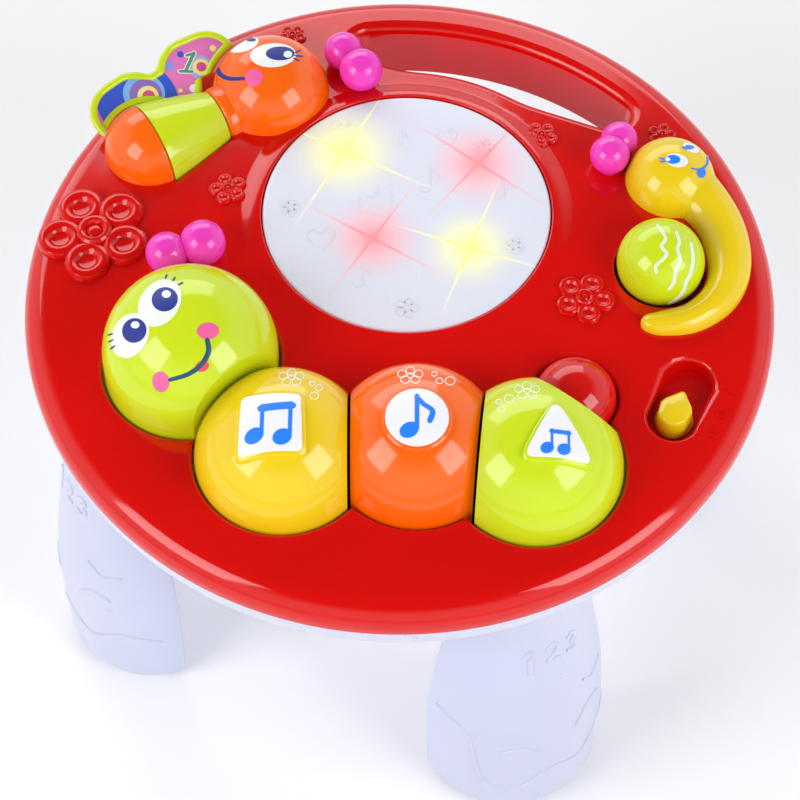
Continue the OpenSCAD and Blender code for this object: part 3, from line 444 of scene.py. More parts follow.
def moved(form: bmesh.types.BMesh, matrix: Matrix) -> bmesh.types.BMesh:
    """Places a shape with a matrix.

    Args:
        form: The shape.
        matrix: Where it goes.
    Returns:
        The same shape.
    """
    bmesh.ops.transform(form, matrix=matrix, verts=form.verts)
    return form


def gathered(forms: Iterable[bmesh.types.BMesh]) -> bmesh.types.BMesh:
    """Puts several shapes into one, as separate shells.

    Args:
        forms: The shapes, which are used up.
    Returns:
        The one shape.
    """
    whole = bmesh.new()
    for form in forms:
        mesh = bpy.data.meshes.new("part")
        form.to_mesh(mesh)
        form.free()
        whole.from_mesh(mesh)
        bpy.data.meshes.remove(mesh)
    return whole


def worked(form: bmesh.types.BMesh, add: Callable[[bpy.types.Object], None]) -> bmesh.types.BMesh:
    """Applies modifiers to a shape.

    Args:
        form: The shape.
        add: Adds the modifiers to the object that it is given.
    Returns:
        The shape with the modifiers applied.
    """
    mesh = bpy.data.meshes.new("work")
    form.to_mesh(mesh)
    form.free()
    subject = bpy.data.objects.new("work", mesh)
    bpy.context.collection.objects.link(subject)
    add(subject)
    made = bpy.data.meshes.new_from_object(subject.evaluated_get(bpy.context.evaluated_depsgraph_get()))
    result = bmesh.new()
    result.from_mesh(made)
    bpy.data.objects.remove(subject)
    bpy.data.meshes.remove(mesh)
    bpy.data.meshes.remove(made)
    return result


def joined(form: bmesh.types.BMesh, tool: bmesh.types.BMesh, how: Join) -> bmesh.types.BMesh:
    """Adds, cuts or keeps what a tool solid covers.

    Args:
        form: The solid that is worked on.
        tool: The other solid.
        how: What the tool does.
    Returns:
        The new solid.
    """
    mesh = bpy.data.meshes.new("tool")
    tool.to_mesh(mesh)
    tool.free()
    other = bpy.data.objects.new("tool", mesh)
    bpy.context.collection.objects.link(other)

    def add(subject: bpy.types.Object) -> None:
        """Adds the Boolean."""
        step = subject.modifiers.new("join", "BOOLEAN")
        step.operation, step.solver, step.object, step.use_self = how.value, "EXACT", other, False
    result = worked(form, add)
    bpy.data.objects.remove(other)
    bpy.data.meshes.remove(mesh)
    return result


def walled(form: bmesh.types.BMesh, wall: float) -> bmesh.types.BMesh:
    """Gives an open skin a wall that grows inwards.

    Args:
        form: The skin.
        wall: Thickness of the wall.
    Returns:
        The closed shape.
    """
    def add(subject: bpy.types.Object) -> None:
        """Adds the Solidify."""
        step = subject.modifiers.new("wall", "SOLIDIFY")
        step.thickness, step.offset, step.use_even_offset = wall, -1.0, True
    return worked(form, add)


def sliced(form: bmesh.types.BMesh, point: Vector, away: Vector, ease: float) -> bmesh.types.BMesh:
    """Cuts off what lies beyond a plane, closes the cut and rounds its edge.

    Args:
        form: The solid.
        point: A point on the plane.
        away: The plane's normal, towards what is cut off.
        ease: Rounding of the new edge.
    Returns:
        The same solid.
    """
    cut = bmesh.ops.bisect_plane(form, geom=form.verts[:] + form.edges[:] + form.faces[:], dist=1e-4,
                                 plane_co=point, plane_no=away, clear_outer=True)["geom_cut"]
    edges = [item for item in cut if isinstance(item, bmesh.types.BMEdge) and item.is_boundary]
    if edges:
        bmesh.ops.contextual_create(form, geom=edges)
        if ease:
            bmesh.ops.bevel(form, geom=edges, offset=ease, offset_type="OFFSET", affect="EDGES", segments=5,
                            profile=0.5, material=-1, clamp_overlap=True)
    bmesh.ops.recalc_face_normals(form, faces=form.faces)
    return form


def piece(name: str, form: bmesh.types.BMesh, finish: Moulding, body: str, slot: str,
          stands_for: tuple[str, ...] = (), crease: float = 32.0) -> bpy.types.Object:
    """Finishes a shape: metres, shading, material, body and the frame's nodes that it stands for.

    Args:
        name: Name of the piece.
        form: The shape, in millimetres.
        finish: Its finish.
        body: The body that it rides on.
        slot: Not used.
        stands_for: The frame's nodes that it replaces.
        crease: Angle past which an edge stays sharp, in degrees.
    Returns:
        The new object.
    """
    bmesh.ops.scale(form, vec=(MM, MM, MM), verts=form.verts)
    mesh = bpy.data.meshes.new(name)
    form.to_mesh(mesh)
    form.free()
    mesh.shade_smooth()
    mesh.set_sharp_from_angle(angle=math.radians(crease))
    made = bpy.data.objects.new(name, mesh)
    bpy.context.collection.objects.link(made)
    mesh.materials.append(finish.material())
    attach(made, body)
    if stands_for:
        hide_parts(*stands_for)
    LOG.info("%s: %d faces on %s", name, len(mesh.polygons), body)
    return made


# ---------------------------------------------------------------- lines, outlines and prints


def arc(centre: Point, radius: float, start: float, end: float, steps: int = 12) -> list[Point]:
    """Points along an arc.

    Args:
        centre: Its middle.
        radius: Its radius.
        start: Angle of the first point, in degrees.
        end: Angle of the last point.
        steps: Number of steps between them.
    Returns:
        The points.
    """
    turns = [math.radians(start + (end - start) * i / steps) for i in range(steps + 1)]
    return [(centre[0] + radius * math.cos(a), centre[1] + radius * math.sin(a)) for a in turns]


def ball_side(radius: float, middle: float, start: float = 0.0, end: float = 180.0,
              steps: int = 40) -> list[Point]:
    """Half profile of a ball, from its lowest point upwards.

    Args:
        radius: Its radius.
        middle: Height of its middle.
        start: Angle of the first point from the lowest one, in degrees.
        end: Angle of the last point.
        steps: Number of steps between them.
    Returns:
        The points, as radius and height.
    """
    turns = [math.radians(start + (end - start) * i / steps) for i in range(steps + 1)]
    return [(radius * math.sin(a), middle - radius * math.cos(a)) for a in turns]


def between(here: Point, there: Point) -> tuple[Point, float]:
    """The point half way between two places, and the heading in degrees from the first to the second."""
    x, y = there[0] - here[0], there[1] - here[1]
    return ((here[0] + there[0]) / 2, (here[1] + there[1]) / 2), math.degrees(math.atan2(y, x))


def ellipse(centre: Point, half: Point, turn: float = 0.0, count: int = 40) -> list[Point]:
    """Closed outline of an ellipse.

    Args:
        centre: Its middle.
        half: Its half widths.
        turn: Its turn in degrees.
        count: Number of points.
    Returns:
        The outline.
    """
    c, s = math.cos(math.radians(turn)), math.sin(math.radians(turn))
    points = []
    for i in range(count):
        x, y = half[0] * math.cos(math.tau * i / count), half[1] * math.sin(math.tau * i / count)
        points.append((centre[0] + c * x - s * y, centre[1] + s * x + c * y))
    return points


def rounded(corners: list[Point], radius: float, steps: int = 6) -> list[Point]:
    """Closed outline of a polygon with round corners, its sides divided finely.

    Args:
        corners: The corners, counter-clockwise.
        radius: Radius of the corners.
        steps: Points on each corner.
    Returns:
        The outline.
    """
    outline: list[Point] = []
    count = len(corners)
    for i, corner in enumerate(corners):
        here = Vector(corner)
        after = Vector(corners[(i + 1) % count])
        back, on = (Vector(corners[i - 1]) - here).normalized(), (after - here).normalized()
        half = back.angle(on) / 2
        reach = radius / math.tan(half)
        for k in range(steps + 1):
            t = k / steps
            shares = (1 - t) ** 2 * (here + back * reach) + 2 * t * (1 - t) * here
            point = shares + t * t * (here + on * reach)
            outline.append((point.x, point.y))
        start, end = here + on * reach, after - on * reach
        outline += [tuple(start.lerp(end, k / 8)) for k in range(1, 8)]
    return outline


def smooth_line(points: list, per: int = 8) -> list[Vector]:
    """Passes a smooth line through points of any dimension.

    Args:
        points: The points.
        per: Steps between two of them.
    Returns:
        The finer points.
    """
    spots = [Vector(p) for p in points]
    line = []
    for i in range(len(spots) - 1):
        a, b, c, d = spots[max(i - 1, 0)], spots[i], spots[i + 1], spots[min(i + 2, len(spots) - 1)]
        for k in range(per):
            t = k / per
            bend = (2 * a - 5 * b + 4 * c - d) + t * (3 * (b - c) + d - a)
            line.append(b + 0.5 * t * ((c - a) + t * bend))
    return line + [spots[-1]]


def centred(outline: list[Point]) -> Vector:
    """Mean of an outline's points."""
    return sum((Vector(p) for p in outline), Vector((0, 0))) / len(outline)


def patch(outline: list[Point], place: Place, lift: float, sink: float = 0.3, step: float = 1.6,
          shoulder: float = 0.0) -> bmesh.types.BMesh:
    """A thin closed patch that follows a surface.

    Args:
        outline: Closed outline in the surface's own flat coordinates.
        place: Turns flat coordinates and a lift into a point in the table's frame.
        lift: Height of the patch above the surface.
        sink: Depth of its hidden underside.
        step: Distance between its rings.
        shoulder: Share by which its top is smaller than its foot.
    Returns:
        The patch.
    """
    middle = centred(outline)
    spots = [Vector(p) - middle for p in outline]
    rings = max(2, math.ceil(max(s.length for s in spots) / step))

    def loop(share: float, height: float) -> Loop:
        """One ring of the patch."""
        return [place(middle.x + s.x * share, middle.y + s.y * share, height) for s in spots]
    top = 1 - shoulder
    loops = [loop(1, -sink), loop(1, lift * 0.55), loop(1 - shoulder * 0.3, lift * 0.85)]
    loops += [loop(top * (1 - k / rings), lift) for k in range(rings)]
    loops.append(loop(0.02, lift))
    return lofted(loops)


def stroke(points: list, width: float, place: Place, lift: float = 0.12, per: int = 8, taper: float = 1.0,
           round_top: bool = False, sink: float = 0.3) -> bmesh.types.BMesh:
    """A band of even width with round ends that follows a line on a surface.

    Args:
        points: Flat points of the line.
        width: Width of the band.
        place: Turns flat coordinates and a lift into a point in the table's frame.
        lift: Height above the surface.
        per: Steps between two points.
        taper: Share of the width that is left at the ends.
        round_top: Whether the band is a round ridge.
        sink: Depth of its hidden underside.
    Returns:
        The band.
    """
    if len(points) > 2:
        line = smooth_line(points, per)
    else:
        line = [Vector(points[0]).lerp(Vector(points[-1]), k / per) for k in range(per + 1)]
    count = len(line)
    section = [(-1, -sink), (-1, lift * 0.5), (-0.8, lift), (0, lift), (0.8, lift), (1, lift * 0.5),
               (1, -sink)]
    if round_top:
        section = [(-1, -sink)] + [(-math.cos(math.pi * k / 8), lift * math.sin(math.pi * k / 8))
                                   for k in range(9)] + [(1, -sink)]
    loops = []
    for i, here in enumerate(line):
        ahead = (line[min(i + 1, count - 1)] - line[max(i - 1, 0)]).normalized()
        side = Vector((-ahead.y, ahead.x))
        share = min(i, count - 1 - i) / (count - 1) * 2
        half = width / 2 * (taper + (1 - taper) * math.sqrt(share))
        loops.append([place(*(here + side * half * across), height) for across, height in section])
    for end, beside in ((0, 1), (-1, -2)):
        ahead = (line[end] - line[beside]).normalized()
        side = Vector((-ahead.y, ahead.x)) * (1 if end else -1)
        half = width / 2 * taper
        for k in range(1, 5):
            turn = math.pi / 2 * k / 4.2
            spot = line[end] + ahead * half * math.sin(turn)
            wide = side * half * math.cos(turn)
            loop = [place(*(spot + wide * across), height) for across, height in section]
            if end:
                loops.append(loop)
            else:
                loops.insert(0, loop)
    return lofted(loops)


def ring(centre: Point, radius: float, width: float, place: Place, lift: float = 0.1) -> bmesh.types.BMesh:
    """A printed ring that follows a surface.

    Args:
        centre: Its middle, in flat coordinates.
        radius: Its radius.
        width: Width of its band.
        place: Turns flat coordinates and a lift into a point in the table's frame.
        lift: Height above the surface.
    Returns:
        The ring.
    """
    count = 28
    section = [(-1, -0.3), (-1, lift), (1, lift), (1, -0.3)]
    form = bmesh.new()
    loops = []
    for i in range(count):
        c, s = math.cos(math.tau * i / count), math.sin(math.tau * i / count)
        loops.append([form.verts.new(place(centre[0] + c * (radius + a * width / 2),
                                           centre[1] + s * (radius + a * width / 2), h)) for a, h in section])
    edges = [[form.edges.new(pair) for pair in zip(loop, loop[1:] + loop[:1])] for loop in loops]
    for here, after in zip(edges, edges[1:] + edges[:1]):
        bmesh.ops.bridge_loops(form, edges=here + after)
    bmesh.ops.recalc_face_normals(form, faces=form.faces)
    return form


# ---------------------------------------------------------------- the table's frame of sizes


@dataclass(frozen=True)
class Table:
    """Driving sizes and places of the table, shared by its sub-assemblies."""

    body_r: float = 160.0
    base_z: float = 165.0
    seam_z: float = 181.0
    rim_z: float = 184.3
    rim_round: float = 11.0
    crown_rise: float = 6.7
    wall: float = 2.4
    shell: float = 2.0
    well_gap: float = 1.4
    skirt_z: float = 190.7
    keys: tuple = ((-47.4, -84.8), (7.0, -82.8), (55.0, -89.8))
    key_r: float = 36.8
    face: Point = (-86.7, -40.6)
    face_r: float = 36.6
    tail: Point = (72.5, -58.0)
    tail_r: float = 17.5
    pad: Point = (3.0, 34.3)
    ball: Point = (110.7, 6.5)
    switch: Point = (112.5, -67.0)
    switch_turn: float = 66.6
    eye: Vector = field(default_factory=lambda: Vector((0.2, -721.2, 1247.1)))

    @property
    def flat_r(self) -> float:
        """Radius at which the rim's rounding starts."""
        return self.body_r - self.rim_round

    @property
    def shoulder_z(self) -> float:
        """Height of the rim's shoulder."""
        return self.rim_z + self.rim_round

    def top_at(self, x: float, y: float) -> float:
        """Height of the crowned top at a plan point."""
        share = min(math.hypot(x, y), self.flat_r) / self.flat_r
        return self.shoulder_z + self.crown_rise * (1 - share * share)

    def on_top(self, x: float, y: float, lift: float) -> Vector:
        """A point above the crowned top."""
        slope = 2 * self.crown_rise / self.flat_r ** 2
        away = Vector((x * slope, y * slope, 1)).normalized()
        return Vector((x, y, self.top_at(x, y))) + away * lift

    def along_slide(self, x: float, y: float) -> Vector:
        """Plan point given along and across the switch's slide."""
        return Matrix.Rotation(math.radians(self.switch_turn), 2) @ Vector((x, y)) + Vector(self.switch)

    def ground(self, reach: float, foot: float, lift: float) -> bmesh.types.BMesh:
        """Solid that fills the space below the crown.

        Args:
            reach: Its radius.
            foot: Height of its underside.
            lift: Height of its top above the crown.
        Returns:
            The solid.
        """
        step = 6
        radii = [reach - step * i for i in range(int(reach / step))] + [0.0]
        return turned([(0, foot), (reach, foot)] + [(r, self.top_at(r, 0) + lift) for r in radii], 96)

    def seen_on(self, centre: Vector, radius: float) -> Place:
        """Lays a print on a ball where the player's eye sees it against the rim's plane.

        Args:
            centre: Centre of the ball.
            radius: Radius of the ball.
        Returns:
            A Place that takes points of the rim's plane.
        """
        def place(x: float, y: float, lift: float) -> Vector:
            """Meets the ball along the line of sight, or beside its edge where the line passes it.

            Args:
                x: Sideways place in the rim's plane.
                y: Place away from the player in the rim's plane.
                lift: Height above the ball.
            Returns:
                The point.
            """
            ray = (Vector((x, y, self.shoulder_z)) - self.eye).normalized()
            near = (centre - self.eye).dot(ray)
            foot = self.eye + ray * near - centre
            depth = max(radius * radius - foot.length_squared, 0.0)
            return centre + (foot - ray * math.sqrt(depth)).normalized() * (radius + lift)
        return place

    def above_ball(self, centre: Vector, radius: float, rise: Callable[[float, float], float]) -> Place:
        """Lays a print straight down on a ball, raised by a rule.

        Args:
            centre: Centre of the ball.
            radius: Radius of the ball.
            rise: Height that the rule adds at a plan point.
        Returns:
            A Place that takes plan points.
        """
        def place(x: float, y: float, lift: float) -> Vector:
            """Straight above the plan point."""
            grown = radius + lift + (rise(x, y) if lift > 0 else 0.0)
            gap = grown ** 2 - (x - centre.x) ** 2 - (y - centre.y) ** 2
            return Vector((x, y, centre.z + math.sqrt(max(gap, 0.0))))
        return place


TABLE = Table()


# ---------------------------------------------------------------- top cover


@dataclass
class TopCover:
    """Crowned red cover with its wells, handle, cup, recess, swell and relief flowers."""

    table: Table = TABLE
    key_gap: float = 0.9
    ease: float = 1.6
    well_floor: float = 170.0
    pad_hole_r: float = 62.4
    pad_ease: float = 0.8
    swell_w: float = 11.0
    swell_top: float = 202.0
    swell_foot: float = 194.5
    cup_r: float = 19.5
    cup_floor: float = 182.6
    cup_ease: float = 0.9
    handle_turn: float = 70.2
    handle_d: float = 109.5
    handle_end_r: float = 9.0
    bar_r: float = 140.0
    bulge_r: float = 80.5
    handle_ease: float = 5.0
    slide_l: float = 20.2
    slide_r: float = 10.2
    slide_floor: float = 187.8
    slide_ease: float = 2.8
    stem_r: float = 2.3
    stem_ends: Point = (3.5, 15.5)
    band_gap: float = 0.3
    screw_turns: tuple = (-8, 70, 135, 172, -130, -95)
    tower: Point = (1.6, 4.0)
    flowers: tuple = (((-130.5, 25.7), 25.0, 3.4, 20.0), ((78.0, -10.3), 13.0, 1.9, 0.0),
                      ((-74.0, 47.0), 8.5, 1.5, 30.0), ((62.0, 76.5), 7.5, 1.4, 0.0),
                      ((-48.0, 135.0), 6.5, 1.3, 15.0), ((115.0, 79.0), 6.5, 1.3, 40.0))

    def skin(self) -> bmesh.types.BMesh:
        """The bare cover: a crowned skin with a rounded rim, of even wall.

        Returns:
            The closed skin.
        """
        t, wall = self.table, self.table.wall
        outer = [(t.flat_r * i / 26, t.top_at(t.flat_r * i / 26, 0)) for i in range(27)]
        outer += arc((t.flat_r, t.rim_z), t.rim_round, 84, 0, 14)
        lip = [(t.body_r, t.seam_z + 0.7), (t.body_r - 0.2, t.seam_z + 0.2), (t.body_r - 0.7, t.seam_z),
               (t.body_r - wall, t.seam_z)]
        inner = arc((t.flat_r, t.rim_z), t.rim_round - wall, 0, 84, 7)
        inner += [(t.flat_r * i / 12, t.top_at(t.flat_r * i / 12, 0) - wall) for i in range(12, -1, -1)]
        return turned(outer + lip + inner, 288)

    def lipped(self, outline: Outline, bottom: float, ease: float,
               level: float | None = None) -> bmesh.types.BMesh:
        """Cutter for an opening whose edge is rounded all round.

        Args:
            outline: Gives the opening's outline grown by a distance.
            bottom: Height of its lower end.
            ease: Radius of the rounded edge.
            level: Height of the edge, or None where it follows the crown.
        Returns:
            The cutter.
        """
        def loop(grow: float, drop: float) -> Loop:
            """The outline at a depth below the top."""
            return [Vector((x, y, (self.table.top_at(x, y) if level is None else level) - drop))
                    for x, y in outline(grow)]
        loops = [[Vector((x, y, bottom)) for x, y in outline(0)], loop(0, ease)]
        for a in (15, 30, 45, 60, 75, 84):
            turn = math.radians(a)
            loops.append(loop(ease * (1 - math.cos(turn)), ease * (1 - math.sin(turn))))
        loops.append(loop(ease * 1.05, -6))
        return lofted(loops)

    def boss(self, outline: Outline, grow: float, bottom: float) -> bmesh.types.BMesh:
        """Solid just below the top inside an outline, for a liner.

        Args:
            outline: Gives the opening's outline grown by a distance.
            grow: Wall of the liner.
            bottom: Height of its lower end.
        Returns:
            The solid.
        """
        sides = outline(grow)
        return lofted([[Vector((x, y, bottom)) for x, y in sides],
                       [Vector((x, y, self.table.top_at(x, y) - 1.0)) for x, y in sides]])

    def swell(self) -> bmesh.types.BMesh:
        """Gentle rise of the crown up to the level edge round the pad.

        Returns:
            The solid, which still fills the pad's hole.
        """
        def loop(radius: float, share: float) -> Loop:
            """A ring round the pad, from the crown at 0 up to the level edge at 1.

            Args:
                radius: Its radius.
                share: How far it has risen.
            Returns:
                The ring.
            """
            ring_loop = []
            for x, y in ellipse(self.table.pad, (radius, radius), count=144):
                low = self.table.top_at(x, y) - 0.15
                ring_loop.append(Vector((x, y, low + (self.swell_top - low) * share)))
            return ring_loop
        reach, steps = self.pad_hole_r + self.swell_w, 12
        loops = [[Vector((x, y, self.swell_foot))
                  for x, y in ellipse(self.table.pad, (reach, reach), count=144)]]
        loops += [loop(reach - self.swell_w * k / steps, (1 - math.cos(math.pi * k / steps)) / 2)
                  for k in range(steps + 1)]
        return lofted(loops + [loop(self.pad_hole_r - 3, 1.0), loop(20, 1.0)])

    def circle(self, centre: Point, radius: float) -> Outline:
        """Outline rule of a round opening."""
        return lambda grow: ellipse(centre, (radius + grow, radius + grow), count=144)

    def handle(self, grow: float) -> list[Point]:
        """Outline of the handle's opening: a bar arc, two round ends and an edge that bulges round the pad.

        Args:
            grow: Distance by which it is grown.
        Returns:
            The outline.
        """
        end_at, end_r = self.bar_r - self.handle_end_r, self.handle_end_r + grow
        spread = math.degrees(math.acos((self.handle_d + self.handle_end_r) / end_at))
        right, left = [(end_at * math.cos(a), end_at * math.sin(a)) for a in
                       (math.radians(-spread), math.radians(spread))]
        near = Vector(self.table.pad)
        near.rotate(Matrix.Rotation(math.radians(-self.handle_turn), 2))
        points = arc(right, end_r, -spread, -180, 16)
        half, edge = left[1], self.handle_d - grow
        for i in range(1, 60):
            across = -half + 2 * half * i / 60
            bulge = near.x + math.sqrt((self.bulge_r - grow) ** 2 - (across - near.y) ** 2)
            points.append(((edge + bulge + math.sqrt((edge - bulge) ** 2 + 5.0)) / 2, across))
        points += arc(left, end_r, 180, spread, 16)
        points += arc((0.0, 0.0), self.bar_r + grow, spread, -spread, 48)[1:-1]
        spin = Matrix.Rotation(math.radians(self.handle_turn), 2)
        return [tuple(spin @ Vector(p)) for p in points]

    def slot(self, grow: float) -> list[Point]:
        """Outline of the switch's recess, which widens more at its far end as it is grown."""
        near, far = self.slide_r + grow * 0.6, self.slide_r + grow * 1.5
        points = arc((0.0, 0.0), near, 90, 270, 28) + arc((self.slide_l, 0.0), far, -90, 90, 28)
        return [tuple(self.table.along_slide(*p)) for p in points]

    def flower(self, centre: Point, radius: float, lift: float, turn: float) -> list[bmesh.types.BMesh]:
        """Five dished petals round a ringed middle, seated on the crown.

        Args:
            centre: Its plan place.
            radius: Its reach.
            lift: Height of a petal's ridge.
            turn: Turn about its middle, in degrees.
        Returns:
            The petals, the ring and the bead.
        """
        ridge = ((1, 0), (0.98, 0.4), (0.92, 0.76), (0.8, 0.97), (0.68, 1), (0.56, 0.9), (0.45, 0.62),
                 (0.37, 0.36), (0.28, 0.26), (0, 0.24))

        def petal(size: float, height: float) -> bmesh.types.BMesh:
            """A thick raised rim round a shallow dish."""
            return turned([(0, -1.2), (size, -1.2)] + [(size * r, height * z) for r, z in ridge], 44)
        x, y = centre
        slope = math.atan(2 * self.table.crown_rise * math.hypot(x, y) / self.table.flat_r ** 2)
        base = (Matrix.Translation((x, y, self.table.top_at(x, y)))
                @ Matrix.Rotation(math.atan2(y, x), 4, "Z") @ Matrix.Rotation(slope, 4, "Y"))
        parts = [moved(petal(radius * 0.4, lift), base @ Matrix.Rotation(math.radians(72 * k + turn), 4, "Z")
                       @ Matrix.Translation((radius * 0.6, 0, 0))) for k in range(5)]
        bead = turned([(0, 0), (radius * 0.15, 0), (radius * 0.14, lift * 0.8), (radius * 0.09, lift * 1.05),
                       (0, lift * 1.15)], 24)
        return parts + [moved(petal(radius * 0.33, lift * 1.4), base), moved(bead, base)]

    def marks(self) -> list[bmesh.types.BMesh]:
        """Raised plain marks beside the switch: a bar, a ring and a double bar.

        Returns:
            The marks.
        """
        def near(x: float, y: float, lift: float) -> Vector:
            """Places a mark beside the slide, in the slide's own directions."""
            return self.table.on_top(*self.table.along_slide(x, y), lift)
        side, half, width, lift = -self.slide_r - 7.5, 1.6, 0.9, 0.45
        bars = [stroke([(x, side - half), (x, side + half)], width, near, lift, 4) for x in (22, -1.2, 1.2)]
        return bars + [ring((10.5, side), 1.7, width, near, lift)]

    def towers(self) -> list[bmesh.types.BMesh]:
        """Hollow towers under the rim that take the casing screws.

        Returns:
            The towers.
        """
        t, (bore, outside) = self.table, self.tower
        low, high, made = t.seam_z - 3, t.shoulder_z - 1, []
        for turn in self.screw_turns:
            reach = t.body_r - (10 if turn == 70 else 14)
            tower = turned([(bore, low), (outside, low), (outside, high), (bore, high)], 32, True)
            place = Matrix.Rotation(math.radians(turn), 4, "Z") @ Matrix.Translation((reach, 0, 0))
            made.append(moved(tower, place))
        return made

    def build(self) -> None:
        """Joins the liners, cuts the openings and lays the relief on."""
        t, fly = self.table, Butterfly()
        cup, pad_hole = self.circle(t.ball, self.cup_r), self.circle(t.pad, self.pad_hole_r)
        liners = gathered([self.boss(self.handle, t.wall, t.base_z),
                           self.boss(cup, t.shell, self.cup_floor - t.shell),
                           self.boss(self.slot, t.shell, self.slide_floor - t.shell)])
        trough = joined(fly.cone(t.well_gap + t.shell, t.shell + self.band_gap), t.ground(150, 160, -1.0),
                        Join.KEEP)
        cover = joined(self.skin(), gathered([liners, trough]), Join.ADD)
        cover = joined(cover, self.swell(), Join.ADD)
        buttons = [(place, t.key_r) for place in t.keys] + [(t.face, t.face_r), (t.tail, t.tail_r)]
        wells = [self.lipped(self.circle(place, radius + self.key_gap), self.well_floor, self.ease)
                 for place, radius in buttons]
        first = [wells[0], wells[2], self.lipped(pad_hole, self.well_floor, self.pad_ease, self.swell_top),
                 self.lipped(cup, self.cup_floor, self.cup_ease),
                 self.lipped(self.handle, t.base_z - 3, self.handle_ease),
                 self.lipped(self.slot, self.slide_floor, self.slide_ease),
                 fly.cone(t.well_gap, self.band_gap)]
        cover = joined(cover, gathered(first), Join.CUT)
        near, far = self.stem_ends
        path = arc((near, 0), self.stem_r, 90, 270, 10) + arc((far, 0), self.stem_r, -90, 90, 10)
        stem_slot = lofted([[Vector((*t.along_slide(*p), z)) for p in path] for z in (182, 189)])
        cover = joined(cover, gathered([wells[1], wells[3], wells[4], stem_slot]), Join.CUT)
        relief = [part for flower in self.flowers for part in self.flower(*flower)]
        whole = gathered([cover] + relief + self.marks() + self.towers())
        made = piece("cover_moulding", whole, COVER_RED, "casing", "cover_red", ("top_cover",), 26)
        even = made.modifiers.new("even", "WEIGHTED_NORMAL")
        even.keep_sharp = True


# ---------------------------------------------------------------- buttons


@dataclass(frozen=True)
class Plane:
    """A plane between two buttons: a plan point, the direction of what is cut off, and its lean."""

    at: Point
    facing: float
    lean: float = 0.0
    height: float = 201.0
    gap: float = 0.6

    def cut(self, form: bmesh.types.BMesh, ease: float) -> bmesh.types.BMesh:
        """Trims a solid half the gap before the plane.

        Args:
            form: The solid.
            ease: Rounding of the new edge.
        Returns:
            The same solid.
        """
        a, lean = math.radians(self.facing), math.radians(self.lean)
        (x, y), gap = self.at, self.gap
        point = Vector((x - gap * math.cos(a), y - gap * math.sin(a), self.height))
        away = Vector((math.cos(a) * math.cos(lean), math.sin(a) * math.cos(lean), -math.sin(lean)))
        return sliced(form, point, away, ease)


@dataclass
class Dome:
    """A domed press button with its skirt, flange and plunger."""

    node: str
    body: str
    centre: Vector
    radius: float
    finish: Moulding
    slot: str
    planes: tuple[Plane, ...] = ()
    table: Table = TABLE
    flange: Point = (2.2, 1.6)
    edge_ease: float = 1.3
    rod_r: float = 3.5
    stop_z: float = 189.4
    seat_z: float = 197.7
    seat_r: float = 8.0
    seat_t: float = 2.0
    press: Point = (0.0, 0.0)

    def plunger(self, plan: Matrix) -> list[bmesh.types.BMesh]:
        """The rod and the spring's seat under the press point.

        Args:
            plan: Places a shape on the dome's axis.
        Returns:
            The rod and the seat.
        """
        inside, off = self.radius - self.table.shell, math.hypot(*self.press) + self.rod_r
        roof = self.centre.z + math.sqrt(inside ** 2 - off ** 2) + 0.5 * self.table.shell
        under = plan @ Matrix.Translation((*self.press, 0))
        rod = turned([(0, self.stop_z), (self.rod_r - 0.3, self.stop_z), (self.rod_r, self.stop_z + 0.4),
                      (self.rod_r, roof), (0, roof)], 32)
        high = self.seat_z + self.seat_t
        seat = turned([(3, self.seat_z), (self.seat_r, self.seat_z), (self.seat_r, high), (3, high)], 48,
                      True)
        return [moved(rod, under), moved(seat, under)]

    def build(self, extras: list[bmesh.types.BMesh]) -> None:
        """Makes the button.

        Args:
            extras: Raised shapes that belong to the moulding.
        """
        t, r = self.table, self.radius
        side = ball_side(r, self.centre.z, 90, 177, 29)[::-1]
        plan = Matrix.Translation((self.centre.x, self.centre.y, 0))
        profile = [(0.0, self.centre.z + r)] + side + [(r, t.skirt_z), (0.0, t.skirt_z)]
        dome = moved(turned(profile, 144), plan)
        inner, outer, high = r - t.shell, r + self.flange[0], t.skirt_z + self.flange[1]
        band = [(inner, t.skirt_z), (outer, t.skirt_z), (outer, high), (inner, high)]
        lip = moved(turned(band, 96, True), plan)
        for plane in self.planes:
            dome = plane.cut(dome, self.edge_ease)
            lip = plane.cut(lip, 0.0)
        under = [f for f in dome.faces if f.calc_center_median().z < t.skirt_z + 0.01]
        bmesh.ops.delete(dome, geom=under, context="FACES")
        dome = walled(dome, t.shell)
        whole = gathered([dome, lip] + self.plunger(plan) + extras)
        piece(f"{self.node}_dome", whole, self.finish, self.body, self.slot, (self.node,))


class Note(Enum):
    """The plain music signs that stand on the key labels: note heads, and lines with their widths."""

    PAIR = (((-6, -5.6), (4.6, -6.6)),
            ((1.8, (-3.2, -5), (-3.0, 6.4)), (1.8, (7.4, -6), (7.6, 7.4)), (4.0, (-3.0, 5.4), (7.6, 6.4))))
    QUAVER = (((-2.4, -6.2),),
              ((2.0, (0.5, -5.4), (0.6, 8.2)), (2.4, (0.6, 7.4), (3.0, 4.4), (6.4, 1.6), (5.4, -2.4))))
    BEAMED = (((-5.4, -5.4), (3.6, -5.4)),
              ((1.6, (-2.8, -4.8), (-2.7, 4.6)), (1.6, (6.2, -4.8), (6.3, 4.6)),
               (2.8, (-2.7, 3.8), (6.3, 3.8))))


